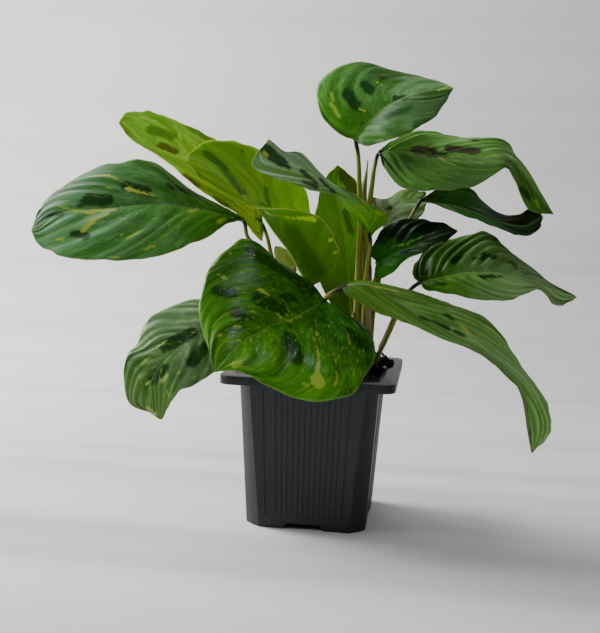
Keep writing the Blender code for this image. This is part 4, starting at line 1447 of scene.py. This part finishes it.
@dataclass
class Soil:
    """The compost that fills the pot, with its heaps and loose crumbs.

    Crumbs have a radius of crumb_mm at most and lie up to reach from the middle, as a
    share of the pot's half width. heaped_share of them are drawn to heap, as widely as
    heap_spread says. The spilled ones lie in a pile that is pile_spread_mm wide and runs
    out over spill_reach_mm. jagged is how far a crumb's corners stray, as a share of its
    radius.
    """

    cells: int = 120
    crumbs: int = 620
    crumb_mm: float = 1.6
    reach: float = 0.93
    heaped_share: float = 0.3
    heap: tuple[float, float] = (0.85, 0.55)
    heap_spread: tuple[float, float] = (0.12, 0.25)
    spilled: int = 170
    spilled_mm: float = 1.5
    spill_reach_mm: float = 6.5
    spill_spread_mm: float = 4.5
    pile_spread_mm: float = 5.0
    jagged: float = 0.22
    finish: SoilFinish = SoilFinish()

    def outline(self, x: float, y: float, z: float) -> Vector:
        """Find where a place on the unit square lies in the pot at a height.

        Args:
            x: from -1 to 1 across.
            y: from -1 to 1 from front to back.
            z: the height.

        Returns:
            The place.
        """
        corner = POT_BASE_CORNER + (POT_TOP_CORNER - POT_BASE_CORNER) * z / POT_TOP_Z
        half = wall_half(z) - POT_WALL - SOIL_GAP
        size = max(abs(x), abs(y))
        if size == 0.0:
            return Vector((0.0, 0.0, z))
        cut = (2.0 * half - corner) / half
        reach = half * min(1.0, cut * size / (abs(x) + abs(y)))
        return Vector((x * reach, y * reach, z))

    def top(self, x: float, y: float, inward: float) -> float:
        """Find the height of the soil.

        Args:
            x: across in metres.
            y: from front to back in metres.
            inward: how far from the pot's wall, as a share of its half width.

        Returns:
            The height in metres.
        """
        rise = 0.0
        for centre_x, centre_y, height, radius in SOIL_HEAPS_MM:
            away = (x / MM - centre_x) ** 2 + (y / MM - centre_y) ** 2
            rise += height * math.exp(-away / (2.0 * radius * radius))
        rise *= min(1.0, inward * 12.0)
        rough = noise.fractal(Vector((x, y, 0.3)) * 260.0, 0.7, 2.1, 5)
        return SOIL_EDGE_Z + (rise + 0.55 * rough * min(1.0, inward * 30.0)) * MM

    def body(self) -> bmesh.types.BMesh:
        """Draw the filling: a lumpy top, sloped sides and a flat bottom."""
        shape = grid(self.cells, self.cells)
        border = [edge for edge in shape.edges if len(edge.link_faces) == 1]
        skirt = bmesh.ops.extrude_edge_only(shape, edges=border)["geom"]
        low = {part for part in skirt if isinstance(part, bmesh.types.BMVert)}
        rim = [part for part in skirt if isinstance(part, bmesh.types.BMEdge)]
        for vertex in shape.verts:
            x, y = vertex.co.x, vertex.co.y
            if vertex in low:
                vertex.co = self.outline(x, y, POT_FLOOR + 0.0002)
                continue
            vertex.co = self.outline(x, y, SOIL_EDGE_Z)
            vertex.co.z = self.top(vertex.co.x, vertex.co.y, 1.0 - max(abs(x), abs(y)))
        bmesh.ops.contextual_create(shape, geom=rim)
        return shape

    def add_crumbs(self, shape: bmesh.types.BMesh) -> None:
        """Scatter crumbs over the top, more of them on the heaps, and spill some on the rim.

        Args:
            shape: the soil's mesh to add them to.
        """
        rng = random.Random(SEED)
        for _ in range(self.spilled):
            out = rng.random()
            size = rng.uniform(0.5, 1.0) * self.spilled_mm * MM
            y = SPILL_MM[1] + rng.gauss(0.0, self.spill_spread_mm)
            aside = (y - SPILL_MM[1]) / self.pile_spread_mm
            pile = (1.0 - out) * SPILL_MM[2] * math.exp(-(aside ** 2)) * MM
            x = SPILL_MM[0] + self.spill_reach_mm * out
            z = POT_HEIGHT + 0.4 * size + rng.random() * pile
            self.add_crumb(shape, Vector((x * MM, y * MM, z)), size, rng)
        for _ in range(self.crumbs):
            x, y = rng.uniform(-self.reach, self.reach), rng.uniform(-self.reach, self.reach)
            if rng.random() < self.heaped_share:
                x, y = [rng.gauss(*pair) for pair in zip(self.heap, self.heap_spread)]
            if max(abs(x), abs(y)) > 0.94:
                continue
            place = self.outline(x, y, SOIL_EDGE_Z)
            place.z = self.top(place.x, place.y, 1.0 - max(abs(x), abs(y)))
            size = rng.uniform(0.35, 1.0) ** 2 * self.crumb_mm * MM
            self.add_crumb(shape, place, size, rng)

    def add_crumb(
        self, shape: bmesh.types.BMesh, place: Vector, size: float, rng: random.Random
    ) -> None:
        """Add one crumb.

        Args:
            shape: the soil's mesh to add it to.
            place: its middle.
            size: its radius.
            rng: where its turn and its form come from.
        """
        spin = Matrix.Rotation(rng.uniform(0.0, 6.28), 4, "Z")
        squash = Matrix.Diagonal((1.0, rng.uniform(0.6, 1.0), rng.uniform(0.5, 0.9), 1.0))
        made = bmesh.ops.create_icosphere(
            shape,
            subdivisions=1,
            radius=size,
            matrix=Matrix.Translation(place) @ spin @ squash,
        )
        for vertex in made["verts"]:
            jolt = [rng.uniform(-self.jagged, self.jagged) * size for _ in range(3)]
            vertex.co += Vector(jolt)

    def build(self) -> bpy.types.Object:
        """Build and dress the soil."""
        shape = self.body()
        self.add_crumbs(shape)
        bmesh.ops.recalc_face_normals(shape, faces=shape.faces)
        return make_piece("compost_fill", shape, [self.finish.make()], ("soil",))


@dataclass(frozen=True)
class PaperFinish:
    """Matt off-white backdrop paper: toned in faint bands, partly at random and partly painted shadow,
    with long shallow creases.
    """

    name: str = "backdrop_paper"
    white: str = "e6e4e1"
    shade: str = "dedbd7"
    roughness: float = 0.85
    tone_grain: Grain = (1.5, 6.0, 3.0)
    crease_grain: Grain = (0.7, 11.0, 11.0)
    crease_depth: float = 0.06

    def make(self) -> bpy.types.Material:
        """Make the backdrop's material."""
        board = new_board(self.name)
        place = board.coordinates()
        # The tone lies in bands across the floor: partly random tone, partly painted shadow bands.
        colour = board.mix(board.noise(place, self.tone_grain), self.white, self.shade)
        relief = board.bump(board.noise(place, self.crease_grain, 0.5), 1.0, self.crease_depth)
        return board.finish(board.skin(colour, self.roughness, relief))


@dataclass
class Studio:
    """The photographer's table: a swept backdrop, soft window light and the camera."""

    floor_half: float = 1.6
    wall_y: float = 1.0
    wall_height: float = 2.2
    sweep_radius: float = 0.35
    tilt_up: float = 9.07
    swing: float = 6.6
    pan: float = 0.99
    tilt: float = -1.81
    roll: float = -2.1
    distance: float = 0.65
    aim_z: float = 0.1
    focal_px: float = 1078.0
    image_width_px: float = 600.0
    sensor_mm: float = 36.0
    dim_side: tuple[float, float, float] = (0.76, -0.62, -0.2)
    paper: PaperFinish = PaperFinish()

    def backdrop(self) -> None:
        """Sweep the floor up into a wall behind the plant."""
        shape = grid(1, BACKDROP_STEPS)
        flat = self.wall_y + self.floor_half - self.sweep_radius
        bend = self.sweep_radius * math.pi / 2
        whole = flat + bend + self.wall_height
        for vertex in shape.verts:
            travel = (vertex.co.y + 1.0) / 2.0 * whole
            x = vertex.co.x * self.floor_half
            angle = min(max(travel - flat, 0.0) / self.sweep_radius, math.pi / 2)
            y = min(travel, flat) - self.floor_half + self.sweep_radius * math.sin(angle)
            z = self.sweep_radius * (1.0 - math.cos(angle)) + max(travel - flat - bend, 0.0)
            vertex.co = Vector((x, y, z))
        piece = make_object("backdrop", shape)
        piece.data.materials.append(self.paper.make())

    def light(
        self, name: str, place: tuple, aim: tuple, size: float, power: float, colour: str
    ) -> None:
        """Hang one soft area light.

        Args:
            name: its name.
            place: where it hangs.
            aim: the point that it faces.
            size: its width.
            power: its power in watts.
            colour: its hex colour.
        """
        lamp = bpy.data.lights.new(name, "AREA")
        lamp.shape = "DISK"
        lamp.size = size
        lamp.energy = power
        lamp.color = linear(colour)[:3]
        item = bpy.data.objects.new(name, lamp)
        item.location = place
        facing = Vector(aim) - Vector(place)
        item.rotation_euler = facing.to_track_quat("-Z", "Y").to_euler()
        bpy.context.scene.collection.objects.link(item)

    def world(self, colour: str, bright: float, dim: float) -> None:
        """Fill the room with soft light that falls off towards the front right.

        Args:
            colour: the colour of the light.
            bright: its strength from the left, the back and above.
            dim: its strength from the unlit side of the room.
        """
        board = Board(bpy.data.worlds.new("soft_room"))
        inputs = {0: board.coordinates("Generated"), 1: self.dim_side}
        facing = board.add("VectorMath", inputs, operation="DOT_PRODUCT").outputs["Value"]
        strength = board.ramp(facing, -0.15, 0.75, bright, dim)
        glow = board.add("Background", {"Color": colour, "Strength": strength})
        bpy.context.scene.world = board.finish(glow.outputs[0])

    def camera(self) -> None:
        """Set the camera at the photograph's place, fitted to the pot's edges."""
        matrix = Matrix.Translation((0.0, 0.0, self.aim_z))
        matrix @= turned(self.swing, "Z") @ turned(-self.tilt_up, "X")
        place = matrix @ Vector((0.0, -self.distance, 0.0))
        heading = turned(self.swing + self.pan, "Z") @ turned(-(self.tilt_up + self.tilt), "X")
        lens = bpy.data.cameras.new("camera")
        lens.sensor_fit = "HORIZONTAL"
        lens.sensor_width = self.sensor_mm
        lens.lens = self.focal_px * self.sensor_mm / self.image_width_px
        lens.clip_start = 0.01
        item = bpy.data.objects.new("camera", lens)
        stand = turned(self.roll, "Y") @ turned(90.0, "X")
        item.matrix_world = Matrix.Translation(place) @ heading @ stand
        bpy.context.scene.collection.objects.link(item)
        bpy.context.scene.camera = item

    def build(self) -> None:
        """Set up the backdrop, the lights and the camera."""
        self.backdrop()
        self.light("roof_window", (-0.85, 0.35, 0.9), (0.0, 0.0, 0.12), 0.8, 17.5, "f2f6ff")
        self.light("side_pane", (-1.2, -0.45, 0.6), (0.0, 0.0, 0.14), 0.22, 3.5, "dce8ff")
        self.light("ceiling_lamp", (0.25, -0.54, 1.1), (0.0, 0.0, 0.12), 0.1, 1.6, "eef3ff")
        self.light("wall_wash", (-1.1, 0.25, 0.6), (-0.4, 0.2, 0.0), 0.5, 14.5, "fffaf4")
        self.world("e8e9e8", 0.36, 0.03)
        self.camera()


BLADES = (
    Blade(
        "left", Slot.LEAF_DARK,
        LeafFinish(("408404", "5c9454"), dark="0a3a08", pale="bccc50", gloss=0.17, see_through=0.25,
                   fleck_start=0.65, half_tone_and_shade=(1.2, 0.9)),
        midrib=((-44, -17, 178), (-64, -26, 182), (-90, -35, 185), (-117, -42, 182), (-145, -47, 178),
                (-160, -51, 168)),
        left=((-52, -26, 175), (-61, -43, 167), (-79, -57, 159), (-108, -65, 154), (-138, -62, 155),
              (-155, -54, 161)),
        right=((-56, -12, 183), (-79, -8, 195), (-103, -9, 209), (-127, -16, 208), (-146, -26, 196),
               (-158, -39, 183)),
        arch=0.06, waves=(3.0, 0.9), seed=1, sweep=0.28,
        # The fifth dark stroke, near the base of the right half, is painted shade.
        dark=((72, -25, 66, -17, 4.0), (76, -15, 73, -15, 1.0), (56, -38, 50, -27, 3.0),
              (75, 55, 70, 60, 2.0), (39, -42, 27, -52, 2.5), (91, -32, 84, 5, 1.0)),
        pale=((74, -90, 66, -82, 0.4), (66, -82, 60, -68, 1.0), (60, -65, 57, -55, 0.5),
              (56, -32, 53, -25, 1.5), (53, -25, 46, -15, 0.6), (83, -30, 80, -2, 0.5),
              (80, -2, 72, 10, 0.8), (73, 3, 64, 5, 1.0), (72, 48, 70, 28, 1.5), (70, 28, 66, 15, 0.9),
              (56, 68, 52, 55, 0.8), (58, 60, 58, 58, 0.4), (50, 85, 46, 83, 0.6),
              (52, 90, 52, 88, 0.3), (60, 95, 57, 95, 0.6), (81, 70, 78, 68, 0.6),
              (63, -45, 61, -38, 0.4), (34, 15, 30, 0, 0.9), (18, 53, 14, 38, 1.5),
              (42, 48, 41, 45, 0.6), (38, 55, 38, 53, 0.7)),
    ),
    Blade(
        "upper_left", Slot.LEAF_LIGHT,
        LeafFinish(("c0d418", "8cd040"), under_tones=("78a010", "78a010"), dark="50841c",
                   brown="5c4218", rib="d8e880", margin="e8e86c", glow="b4cc1c", bloom_and_sheen=0.8,
                   see_through=0.55),
        midrib=((-36, 0, 176), (-51, 4, 186), (-68, 10, 199), (-85, 17, 210), (-107, 24, 218),
                (-122, 28, 223), (-136, 33, 234)),
        left=((-35, -5, 165), (-46, -6, 176), (-67, -2, 189), (-88, 4, 203), (-109, 14, 216),
              (-127, 24, 225)),
        right=((-40, 20, 191), (-55, 34, 209), (-77, 43, 226), (-103, 49, 237), (-123, 48, 242),
               (-134, 43, 241)),
        arch=0.05, waves=(3.0, 0.7), seed=2,
        dark=((76, -42, 67, -40, 3.5), (58, -100, 51, -88, 3.0)),
        # The pale strokes are cream streaks and, among them, a painted bluish sheen.
        pale=((82, -78, 74, -70, 0.6), (65, -88, 62, -45, 0.5), (96, -55, 82, -5, 0.5)),
        brown=((72, -10, 65, -7, 2.0), (54, 95, 47, 88, 0.7), (38, 90, 32, 92, 1.0)),
    ),
    Blade(
        "cupped", Slot.LEAF_LIGHT,
        LeafFinish(("b8d414", "a0d028"), under_tones=("54800c", "54800c"), dark="38640c",
                   brown="5c4218", pale="cce828", rib="d8e880", margin="e8e86c", glow="a0d81c",
                   bloom_and_sheen=0.6, see_through=0.55),
        midrib=((-4, -8, 140), (-15, -16, 158), (-27, -21, 175), (-36, -22, 186), (-48, -23, 194),
                (-65, -23, 206), (-78, -21, 211)),
        left=((5, -15, 146), (14, -25, 160), (10, -33, 173), (0, -38, 183), (-17, -40, 186),
              (-36, -36, 186), (-52, -32, 191), (-68, -26, 201)),
        right=((-3, 10, 160), (-9, 21, 182), (-16, 26, 198), (-36, 26, 215), (-57, 20, 224),
               (-72, 6, 223), (-78, -9, 216)),
        arch=-0.06, waves=(2.5, 0.8), seed=3,
        # The first two dark strokes are partly the leaf's own deeper green and partly painted shadow
        # that the cup's ridge casts inside it.
        dark=((80, -70, 74, -52, 3.5), (74, -52, 67, -12, 3.0), (52, -52, 48, -30, 1.0),
              (38, 40, 16, 50, 5.0)),
        pale=((85, -38, 80, -27, 0.4), (76, 10, 62, 18, 0.3), (54, 30, 41, 92, 1.5),
              (30, 90, 30, 95, 0.7), (24, 92, 24, 98, 0.6)),
        brown=((70, -20, 68, -5, 0.6), (56, -10, 50, -25, 0.7), (64, -90, 64, -88, 0.4)),
    ),
    Blade(
        "pointed", Slot.LEAF_DARK,
        LeafFinish(("70c410", "b0dc9c"), dark="12401c", brown="473f38", pale="ccd44c", gloss=0.13,
                   bloom_and_sheen=0.9, see_through=0.25, half_tone_and_shade=(1.2, 0.9)),
        midrib=((29, -1, 171), (27, -11, 185), (17, -20, 194), (4, -28, 202), (-10, -34, 210),
                (-22, -39, 216), (-27, -41, 224)),
        left=((22, -12, 180), (15, -22, 187), (9, -31, 194), (-3, -39, 197), (-14, -44, 200),
              (-24, -47, 203), (-34, -50, 209)),
        right=((37, 2, 179), (38, -4, 184), (29, -9, 189), (18, -14, 195), (9, -17, 200),
               (-3, -22, 210), (-11, -25, 217), (-19, -32, 218)),
        arch=0.0, waves=(3.0, 0.7), seed=4,
        dark=((94, 60, 82, 18, 3.0), (81, 23, 76, 30, 1.0)),
        pale=((64, 90, 62, 75, 0.6), (92, 62, 90, 43, 0.8), (39, -88, 32, -72, 0.4),
              (30, 28, 26, 23, 0.5), (24, -62, 20, -75, 0.4)),
        brown=((70, 18, 58, 35, 0.8), (60, 70, 54, 60, 0.8), (60, 7, 46, 40, 1.0)),
    ),
    Blade(
        "top", Slot.LEAF_GREEN,
        LeafFinish(("488c20", "547c44"), dark="184c1c", pale="b0d44c", gloss=0.12, see_through=0.25,
                   half_tone_and_shade=(1.25, 0.75)),
        midrib=((17, 6, 227), (24, 5, 237), (36, 2, 247), (53, -2, 254), (73, -6, 257)),
        left=((7, 7, 230), (-5, 11, 243), (-7, 17, 261), (12, 24, 273), (40, 23, 269), (61, 9, 263)),
        right=((22, -1, 223), (33, -8, 225), (45, -15, 229), (60, -17, 237), (69, -14, 248)),
        arch=0.05, waves=(3.5, 0.8), seed=5,
        dark=((40, 50, 36, 30, 3.0), (50, 48, 50, 35, 2.5), (46, -30, 64, -42, 1.5),
              (60, 5, 66, -2, 1.5), (60, -90, 68, -100, 2.0)),
        pale=((36, 73, 32, 65, 0.7), (30, 70, 24, 53, 0.9), (90, -7, 96, 55, 0.6),
              (36, 23, 36, 15, 0.5), (56, 50, 58, 38, 0.4)),
        brown=((59, 58, 62, 58, 0.7),),
    ),
    Blade(
        "right_upper", Slot.LEAF_GREEN,
        LeafFinish(("70b048", "68a440"), dark="184410", brown="4c3c38", pale="b8cc44", see_through=0.25,
                   half_tone_and_shade=(1.3, 0.7)),
        midrib=((31, 10, 220), (46, 11, 221), (67, 12, 219), (89, 12, 219), (107, 14, 219),
                (119, 17, 207), (136, 21, 187)),
        left=((40, 21, 229), (54, 30, 234), (78, 36, 232), (106, 37, 229), (116, 34, 218),
              (127, 29, 201)),
        right=((35, 0, 211), (47, -9, 200), (64, -13, 198), (83, -11, 201), (98, -4, 208),
               (107, 4, 212), (113, 9, 204), (121, 14, 189)),
        arch=0.06, waves=(3.5, 1.0), seed=6,
        dark=((36, 0, 40, 3, 2.5), (81, -78, 86, -60, 1.5)),
        pale=((38, -7, 41, -22, 0.8), (41, -22, 44, -35, 0.7), (31, 7, 34, 3, 0.5),
              (53, -32, 56, -38, 0.5), (90, -45, 92, -68, 0.6), (68, -72, 71, -62, 0.5)),
        brown=((27, 9, 34, 7, 3.4), (42, 27, 53, 22, 3.2), (46, 80, 50, 68, 1.6), (64, 15, 69, 5, 0.8)),
    ),
    Blade(
        "right_rear", Slot.LEAF_OLIVE,
        LeafFinish(("0c2c06", "082404"), under_tones=("246804", "042c04"), dark="0c2408",
                   brown="2c2414", rib="6c8040", margin="5c6c38", bloom_and_sheen=0.5, gloss=0.14,
                   see_through=0.15, half_tone_and_shade=(1.5, 0.75)),
        midrib=((57, 23, 193), (74, 29, 191), (91, 35, 187), (108, 40, 181), (121, 44, 179),
                (132, 48, 185)),
        left=((69, 34, 189), (88, 42, 182), (108, 49, 176), (122, 50, 172), (131, 51, 178)),
        right=((68, 16, 200), (84, 18, 202), (97, 23, 190), (104, 29, 186), (116, 39, 186),
               (127, 50, 190)),
        arch=0.0, waves=(2.5, 0.6), seed=7,
        brown=((8, -65, 18, -27, 0.9), (69, -45, 88, -40, 1.5)),
    ),
    Blade(
        "right_inner", Slot.LEAF_DARK,
        LeafFinish(("247004", "041c04"), dark="041404", pale="5c9c30", rib="4c6c28", margin="4c6c28",
                   bloom_and_sheen=0.5, gloss=0.12, see_through=0.15, half_tone_and_shade=(0.8, 1.2)),
        midrib=((33, 6, 155), (47, 1, 163), (64, -3, 171), (80, -5, 176)),
        left=((29, 7, 160), (32, 10, 171), (43, 11, 179), (57, 9, 182), (71, 4, 180)),
        right=((33, 2, 145), (43, -5, 150), (52, -10, 159), (63, -13, 164), (73, -10, 170)),
        arch=0.05, waves=(2.0, 0.5), seed=8,
        dark=((44, 38, 53, 40, 2.0), (60, 5, 72, -12, 1.0), (42, -25, 53, -55, 1.0),
              (31, 73, 50, 78, 3.5), (52, 70, 89, 73, 3.5)),
        pale=((38, 18, 51, 7, 0.6), (51, 10, 65, 18, 0.4), (36, -57, 39, -60, 0.5)),
    ),
    Blade(
        "right", Slot.LEAF_GREEN,
        LeafFinish(("448404", "90b870"), dark="123a0c", pale="c0d474", bloom_and_sheen=0.75, see_through=0.2,
                   half_tone_and_shade=(0.8, 1.2)),
        midrib=((59, 13, 144), (71, 12, 147), (92, 13, 151), (115, 13, 150), (136, 14, 144),
                (152, 14, 139)),
        left=((54, 16, 147), (58, 27, 158), (78, 37, 170), (97, 39, 174), (114, 35, 163),
              (134, 20, 148)),
        right=((62, 7, 140), (76, -1, 139), (95, -5, 136), (115, -1, 138), (131, 9, 143),
               (140, 12, 133)),
        arch=0.04, waves=(3.5, 0.9), seed=9, folds=(7.5, 0.8),
        dark=((34, 35, 38, 43, 1.5), (49, 40, 55, 35, 1.5), (44, 33, 50, 30, 0.5),
              (64, 40, 66, 35, 1.0), (46, -15, 56, -15, 1.0), (18, -45, 24, -50, 0.7),
              (12, 65, 15, 43, 1.0)),
    ),
    Blade(
        "drooping", Slot.LEAF_GREEN,
        LeafFinish(("64982c", "90cc68"), dark="1a460c", pale="d4e05c", rib="d8b894", see_through=0.25,
                   half_tone_and_shade=(1.1, 0.9)),
        midrib=((15, -20, 142), (30, -22, 144), (49, -25, 135), (73, -30, 122), (97, -31, 112),
                (117, -31, 93), (128, -28, 53)),
        left=((25, -11, 145), (48, -7, 141), (71, -4, 136), (104, -4, 121), (125, -10, 94),
              (137, -14, 76), (139, -18, 65)),
        right=((19, -26, 137), (36, -34, 130), (59, -41, 123), (83, -45, 116), (106, -44, 103),
               (119, -40, 91), (125, -34, 70)),
        arch=0.04, waves=(4.0, 1.0), seed=10,
        dark=((46, 38, 48, 35, 1.5), (42, -25, 52, 7, 1.5), (55, 10, 57, 12, 1.5)),
        pale=((52, 33, 56, 30, 1.0), (59, 15, 68, 7, 0.7), (52, 78, 55, 90, 0.8), (22, 5, 28, 38, 0.9),
              (40, 58, 46, 48, 0.4), (56, 45, 59, 75, 0.4)),
    ),
    Blade(
        "front", Slot.LEAF_GREEN,
        LeafFinish(("2c8014", "50a008"), dark="064602", pale="c4e054", fleck_start=0.62, bloom_and_sheen=1.35,
                   gloss=0.36, see_through=0.25, half_tone_and_shade=(1.1, 0.9)),
        midrib=((6, -19, 133), (-7, -35, 126), (-22, -53, 120), (-35, -67, 112), (-46, -78, 98)),
        left=((18, -18, 126), (33, -22, 117), (37, -32, 105), (33, -48, 95), (26, -58, 85),
              (6, -67, 83), (-15, -74, 90), (-33, -77, 99)),
        right=((-3, -16, 142), (-21, -21, 155), (-43, -27, 167), (-57, -41, 153), (-61, -55, 132),
               (-53, -69, 111)),
        arch=0.07, waves=(3.5, 1.2), seed=11, sweep=0.42,
        # The last dark stroke, along the right margin near the base, is painted shade.
        dark=((52, -32, 43, -12, 3.5), (66, -40, 66, -30, 2.5), (38, -25, 31, -22, 2.0),
              (64, -78, 60, -57, 2.5), (54, 20, 60, 45, 3.5), (29, 62, 32, 85, 3.0),
              (42, -80, 15, -48, 3.0)),
        pale=((60, 75, 60, 78, 3.5), (56, 62, 60, 73, 0.9), (50, 48, 56, 62, 0.8),
              (47, 40, 50, 48, 0.3), (40, 25, 47, 40, 0.4), (39, 30, 46, 45, 0.4), (46, -5, 42, 3, 0.9),
              (41, 3, 33, 3, 0.7), (49, -40, 46, -30, 0.9), (58, -85, 57, -78, 0.7),
              (58, -78, 57, -72, 0.4), (63, -75, 61, -70, 0.5), (72, -27, 70, -22, 0.6),
              (81, -55, 80, -48, 0.5), (90, 58, 86, 48, 1.5), (52, 78, 56, 85, 0.5),
              (44, 83, 46, 90, 0.3), (44, 60, 52, 75, 0.3), (30, 58, 36, 70, 0.3),
              (65, 78, 64, 80, 0.7), (49, -92, 48, -90, 0.5), (38, -75, 38, -75, 0.4),
              (78, -10, 77, -5, 0.4)),
    ),
    Blade(
        "lower_left", Slot.LEAF_GREEN,
        LeafFinish(("94bc84", "5c8c3c"), dark="184618", pale="ccdc74", fleck_start=0.64,
                   see_through=0.2, half_tone_and_shade=(1.1, 0.9)),
        midrib=((-49, -20, 121), (-64, -32, 112), (-79, -45, 100), (-88, -54, 85), (-88, -54, 68)),
        left=((-45, -23, 110), (-51, -36, 94), (-60, -47, 87), (-71, -57, 80), (-76, -57, 74),
              (-80, -56, 65)),
        right=((-57, -13, 128), (-72, -16, 130), (-87, -22, 124), (-98, -31, 116), (-101, -40, 104),
               (-105, -46, 98), (-101, -52, 72)),
        arch=0.06, waves=(3.0, 1.2), seed=12, folds=(8.0, 0.6),
        dark=((55, -25, 38, -10, 3.5), (48, 50, 36, 38, 3.0), (77, 7, 66, 15, 2.5)),
        pale=((57, -40, 52, -32, 0.6), (72, -45, 68, -40, 0.5), (71, 38, 66, 38, 0.9),
              (96, -32, 93, 73, 0.7), (72, 68, 72, 85, 0.3), (78, -35, 78, -30, 0.5),
              (59, 53, 58, 55, 0.6), (52, 85, 50, 83, 0.6), (81, -12, 80, -5, 0.4),
              (53, 15, 52, 15, 0.3), (38, -10, 34, -10, 0.4), (44, 85, 42, 83, 0.3)),
    ),
    Blade(
        "rear", Slot.LEAF_OLIVE,
        # The rear leaf's tones are lighter than its own green: painted light where the leaves in front
        # shade it.
        LeafFinish(("ccd0b4", "94c46c"), dark="3c5a2c", brown="4a4438", half_tone_and_shade=(1.1, 0.9)),
        midrib=((38, 31, 170), (37, 34, 182), (42, 41, 189), (52, 50, 193), (59, 57, 197)),
        left=((32, 32, 178), (26, 35, 192), (34, 44, 192), (45, 54, 198)),
        right=((46, 29, 175), (57, 37, 182), (60, 47, 190)),
        arch=0.0, waves=(2.0, 0.4), seed=13,
        brown=((38, 18, 46, 10, 0.7),),
    ),
    Blade(
        "upright", Slot.LEAF_LIGHT,
        LeafFinish(("407404", "90d050"), under_tones=("406404", "406404"), dark="2c5408", rib="cce470",
                   margin="a8cc4c", glow="9cc01c", bloom_and_sheen=0.45, see_through=0.45, half_tone_and_shade=(0.8, 1.2)),
        midrib=((19, 16, 112), (16, 24, 136), (11, 31, 166), (5, 37, 190), (4, 39, 212)),
        left=((9, 15, 123), (-2, 18, 140), (-8, 23, 162), (-8, 29, 183), (-3, 34, 204)),
        right=((24, 23, 122), (27, 33, 138), (27, 41, 160), (24, 45, 183), (15, 44, 203)),
        arch=-0.05, waves=(2.5, 0.5), seed=14,
        dark=((72, -25, 62, -27, 2.0),),
        # The brown stroke near the tip is a painted sheen on that half, drawn in the brown colour.
        brown=((94, -60, 81, -75, 3.0),),
    ),
    Blade(
        "new", Slot.LEAF_LIGHT,
        # The new leaf's pale tones are partly its own young colour and partly painted light where the
        # leaves round it shade it.
        LeafFinish(("d4d8a8", "d8dcb0"), under_tones=("a0ae4e", "a0ae4e"), rib="e8e89c",
                   margin="d8e074", glow="c4cc90", bloom_and_sheen=0.45, see_through=0.5, half_tone_and_shade=(1.2, 0.8)),
        midrib=((-15, 0, 148), (-20, 1, 153), (-25, 1, 157), (-28, 2, 162)),
        left=((-19, -4, 149), (-25, -4, 153), (-28, -1, 158)),
        right=((-15, 6, 153), (-20, 8, 159), (-25, 5, 162)),
        arch=0.0, waves=(1.0, 0.0), seed=15, folds=(4.0, 0.15),
    ),
)

STALKS = (
    Stalk("left", ((-42, -15, 168), (-37, -13, 162), (-29, -11, 152), (-16, -8, 133), (-4, -5, 108)),
          (-1.0, -3.5), (1.1, 1.4, 1.6)),
    Stalk("upper_left", ((-33, 2, 167), (-30, 2, 156), (-22, 2, 139), (-9, 3, 114)), (-1.0, 4.0),
          (1.1, 1.4, 1.6), 0.5),
    Stalk("cupped", ((-1, -4, 132), (2, -2, 122), (5, 0, 108)), (6.5, 0.5), (1.2, 1.5, 1.7)),
    Stalk("pointed", ((29, 3, 166), (28, 4, 157), (27, 4, 141), (27, 4, 122)), (27.0, 4.0),
          (1.1, 1.5, 1.5)),
    Stalk("top", ((19, 8, 218), (21, 8, 194), (22, 9, 182), (22, 9, 150), (22, 9, 122)), (22.0, 8.6),
          (1.1, 2.0, 2.3)),
    Stalk("right_upper", ((29, 9, 211), (28, 9, 201), (27, 9, 189), (27, 9, 168), (28, 9, 150),
          (28, 9, 122)), (28.0, 9.1), (1.1, 2.0, 2.3)),
    Stalk("right_rear", ((55, 23, 189), (52, 22, 183), (44, 21, 168), (35, 21, 152), (31, 21, 132)),
          (30.0, 21.0), (1.1, 1.4, 1.5)),
    Stalk("right_inner", ((35, 12, 148), (34, 15, 141), (32, 16, 128)), (31.0, 15.0), (1.0, 1.4, 1.5)),
    Stalk("right", ((56, 14, 141), (53, 13, 138), (48, 13, 130), (45, 12, 120), (40, 12, 107)),
          (35.2, 11.5), (1.1, 1.5, 1.7)),
    Stalk("drooping", ((10, -17, 138), (5, -12, 133), (3, -9, 121), (5, -7, 108)), (5.5, -7.0),
          (1.4, 1.5, 1.7)),
    Stalk("front", ((8, -12, 123), (11, -6, 108)), (12.0, -5.5), (1.2, 1.5, 1.7), 0.2),
    Stalk("lower_left", ((-41, -14, 117), (-25, -10, 111), (-12, -8, 104)), (-7.0, -7.0),
          (1.1, 1.3, 1.5), 0.2),
    Stalk("rear", ((37, 30, 163), (33, 28, 148), (27, 23, 128)), (24.0, 21.0), (1.0, 1.3, 1.4)),
    Stalk("upright", ((18, 14, 108),), (17.5, 13.0), (1.3, 1.5, 1.6), 0.3),
    Stalk("new", ((-11, 3, 141), (-5, 5, 127), (2, 7, 109)), (5.0, 8.0), (0.8, 1.0, 1.1)),
)

SHEATHS = (
    Sheath("right", 0.36, 0.62, 180.0, 75.0),
    Sheath("top", 0.20, 0.36, 215.0, 100.0),
    Sheath("left", 0.62, 0.84, 70.0, 80.0),
    Sheath("right_upper", 0.20, 0.50, 300.0, 60.0),
)


def main() -> None:
    """Build and dress the whole plant in order, from the pot up."""
    logging.basicConfig(level=logging.INFO, format="%(name)s: %(message)s")
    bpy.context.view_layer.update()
    Studio().build()
    REPORT.info("built %s", Pot().build().name)
    REPORT.info("built %s", Soil().build().name)
    blades = {blade.name: blade for blade in BLADES}
    stalks = {stalk.name: stalk for stalk in STALKS}
    stalk_skin = StalkFinish().make()
    for blade in BLADES:
        REPORT.info("built %s", blade.build().name)
        REPORT.info("built %s", stalks[blade.name].build(blade, stalk_skin).name)
    REPORT.info("built %s", RolledLeaf().build().name)
    sheath_skin = SheathFinish().make()
    for sheath in SHEATHS:
        wrap = sheath.build(stalks[sheath.name], blades[sheath.name], sheath_skin)
        REPORT.info("built %s", wrap.name)


if __name__ == "__main__":
    main()
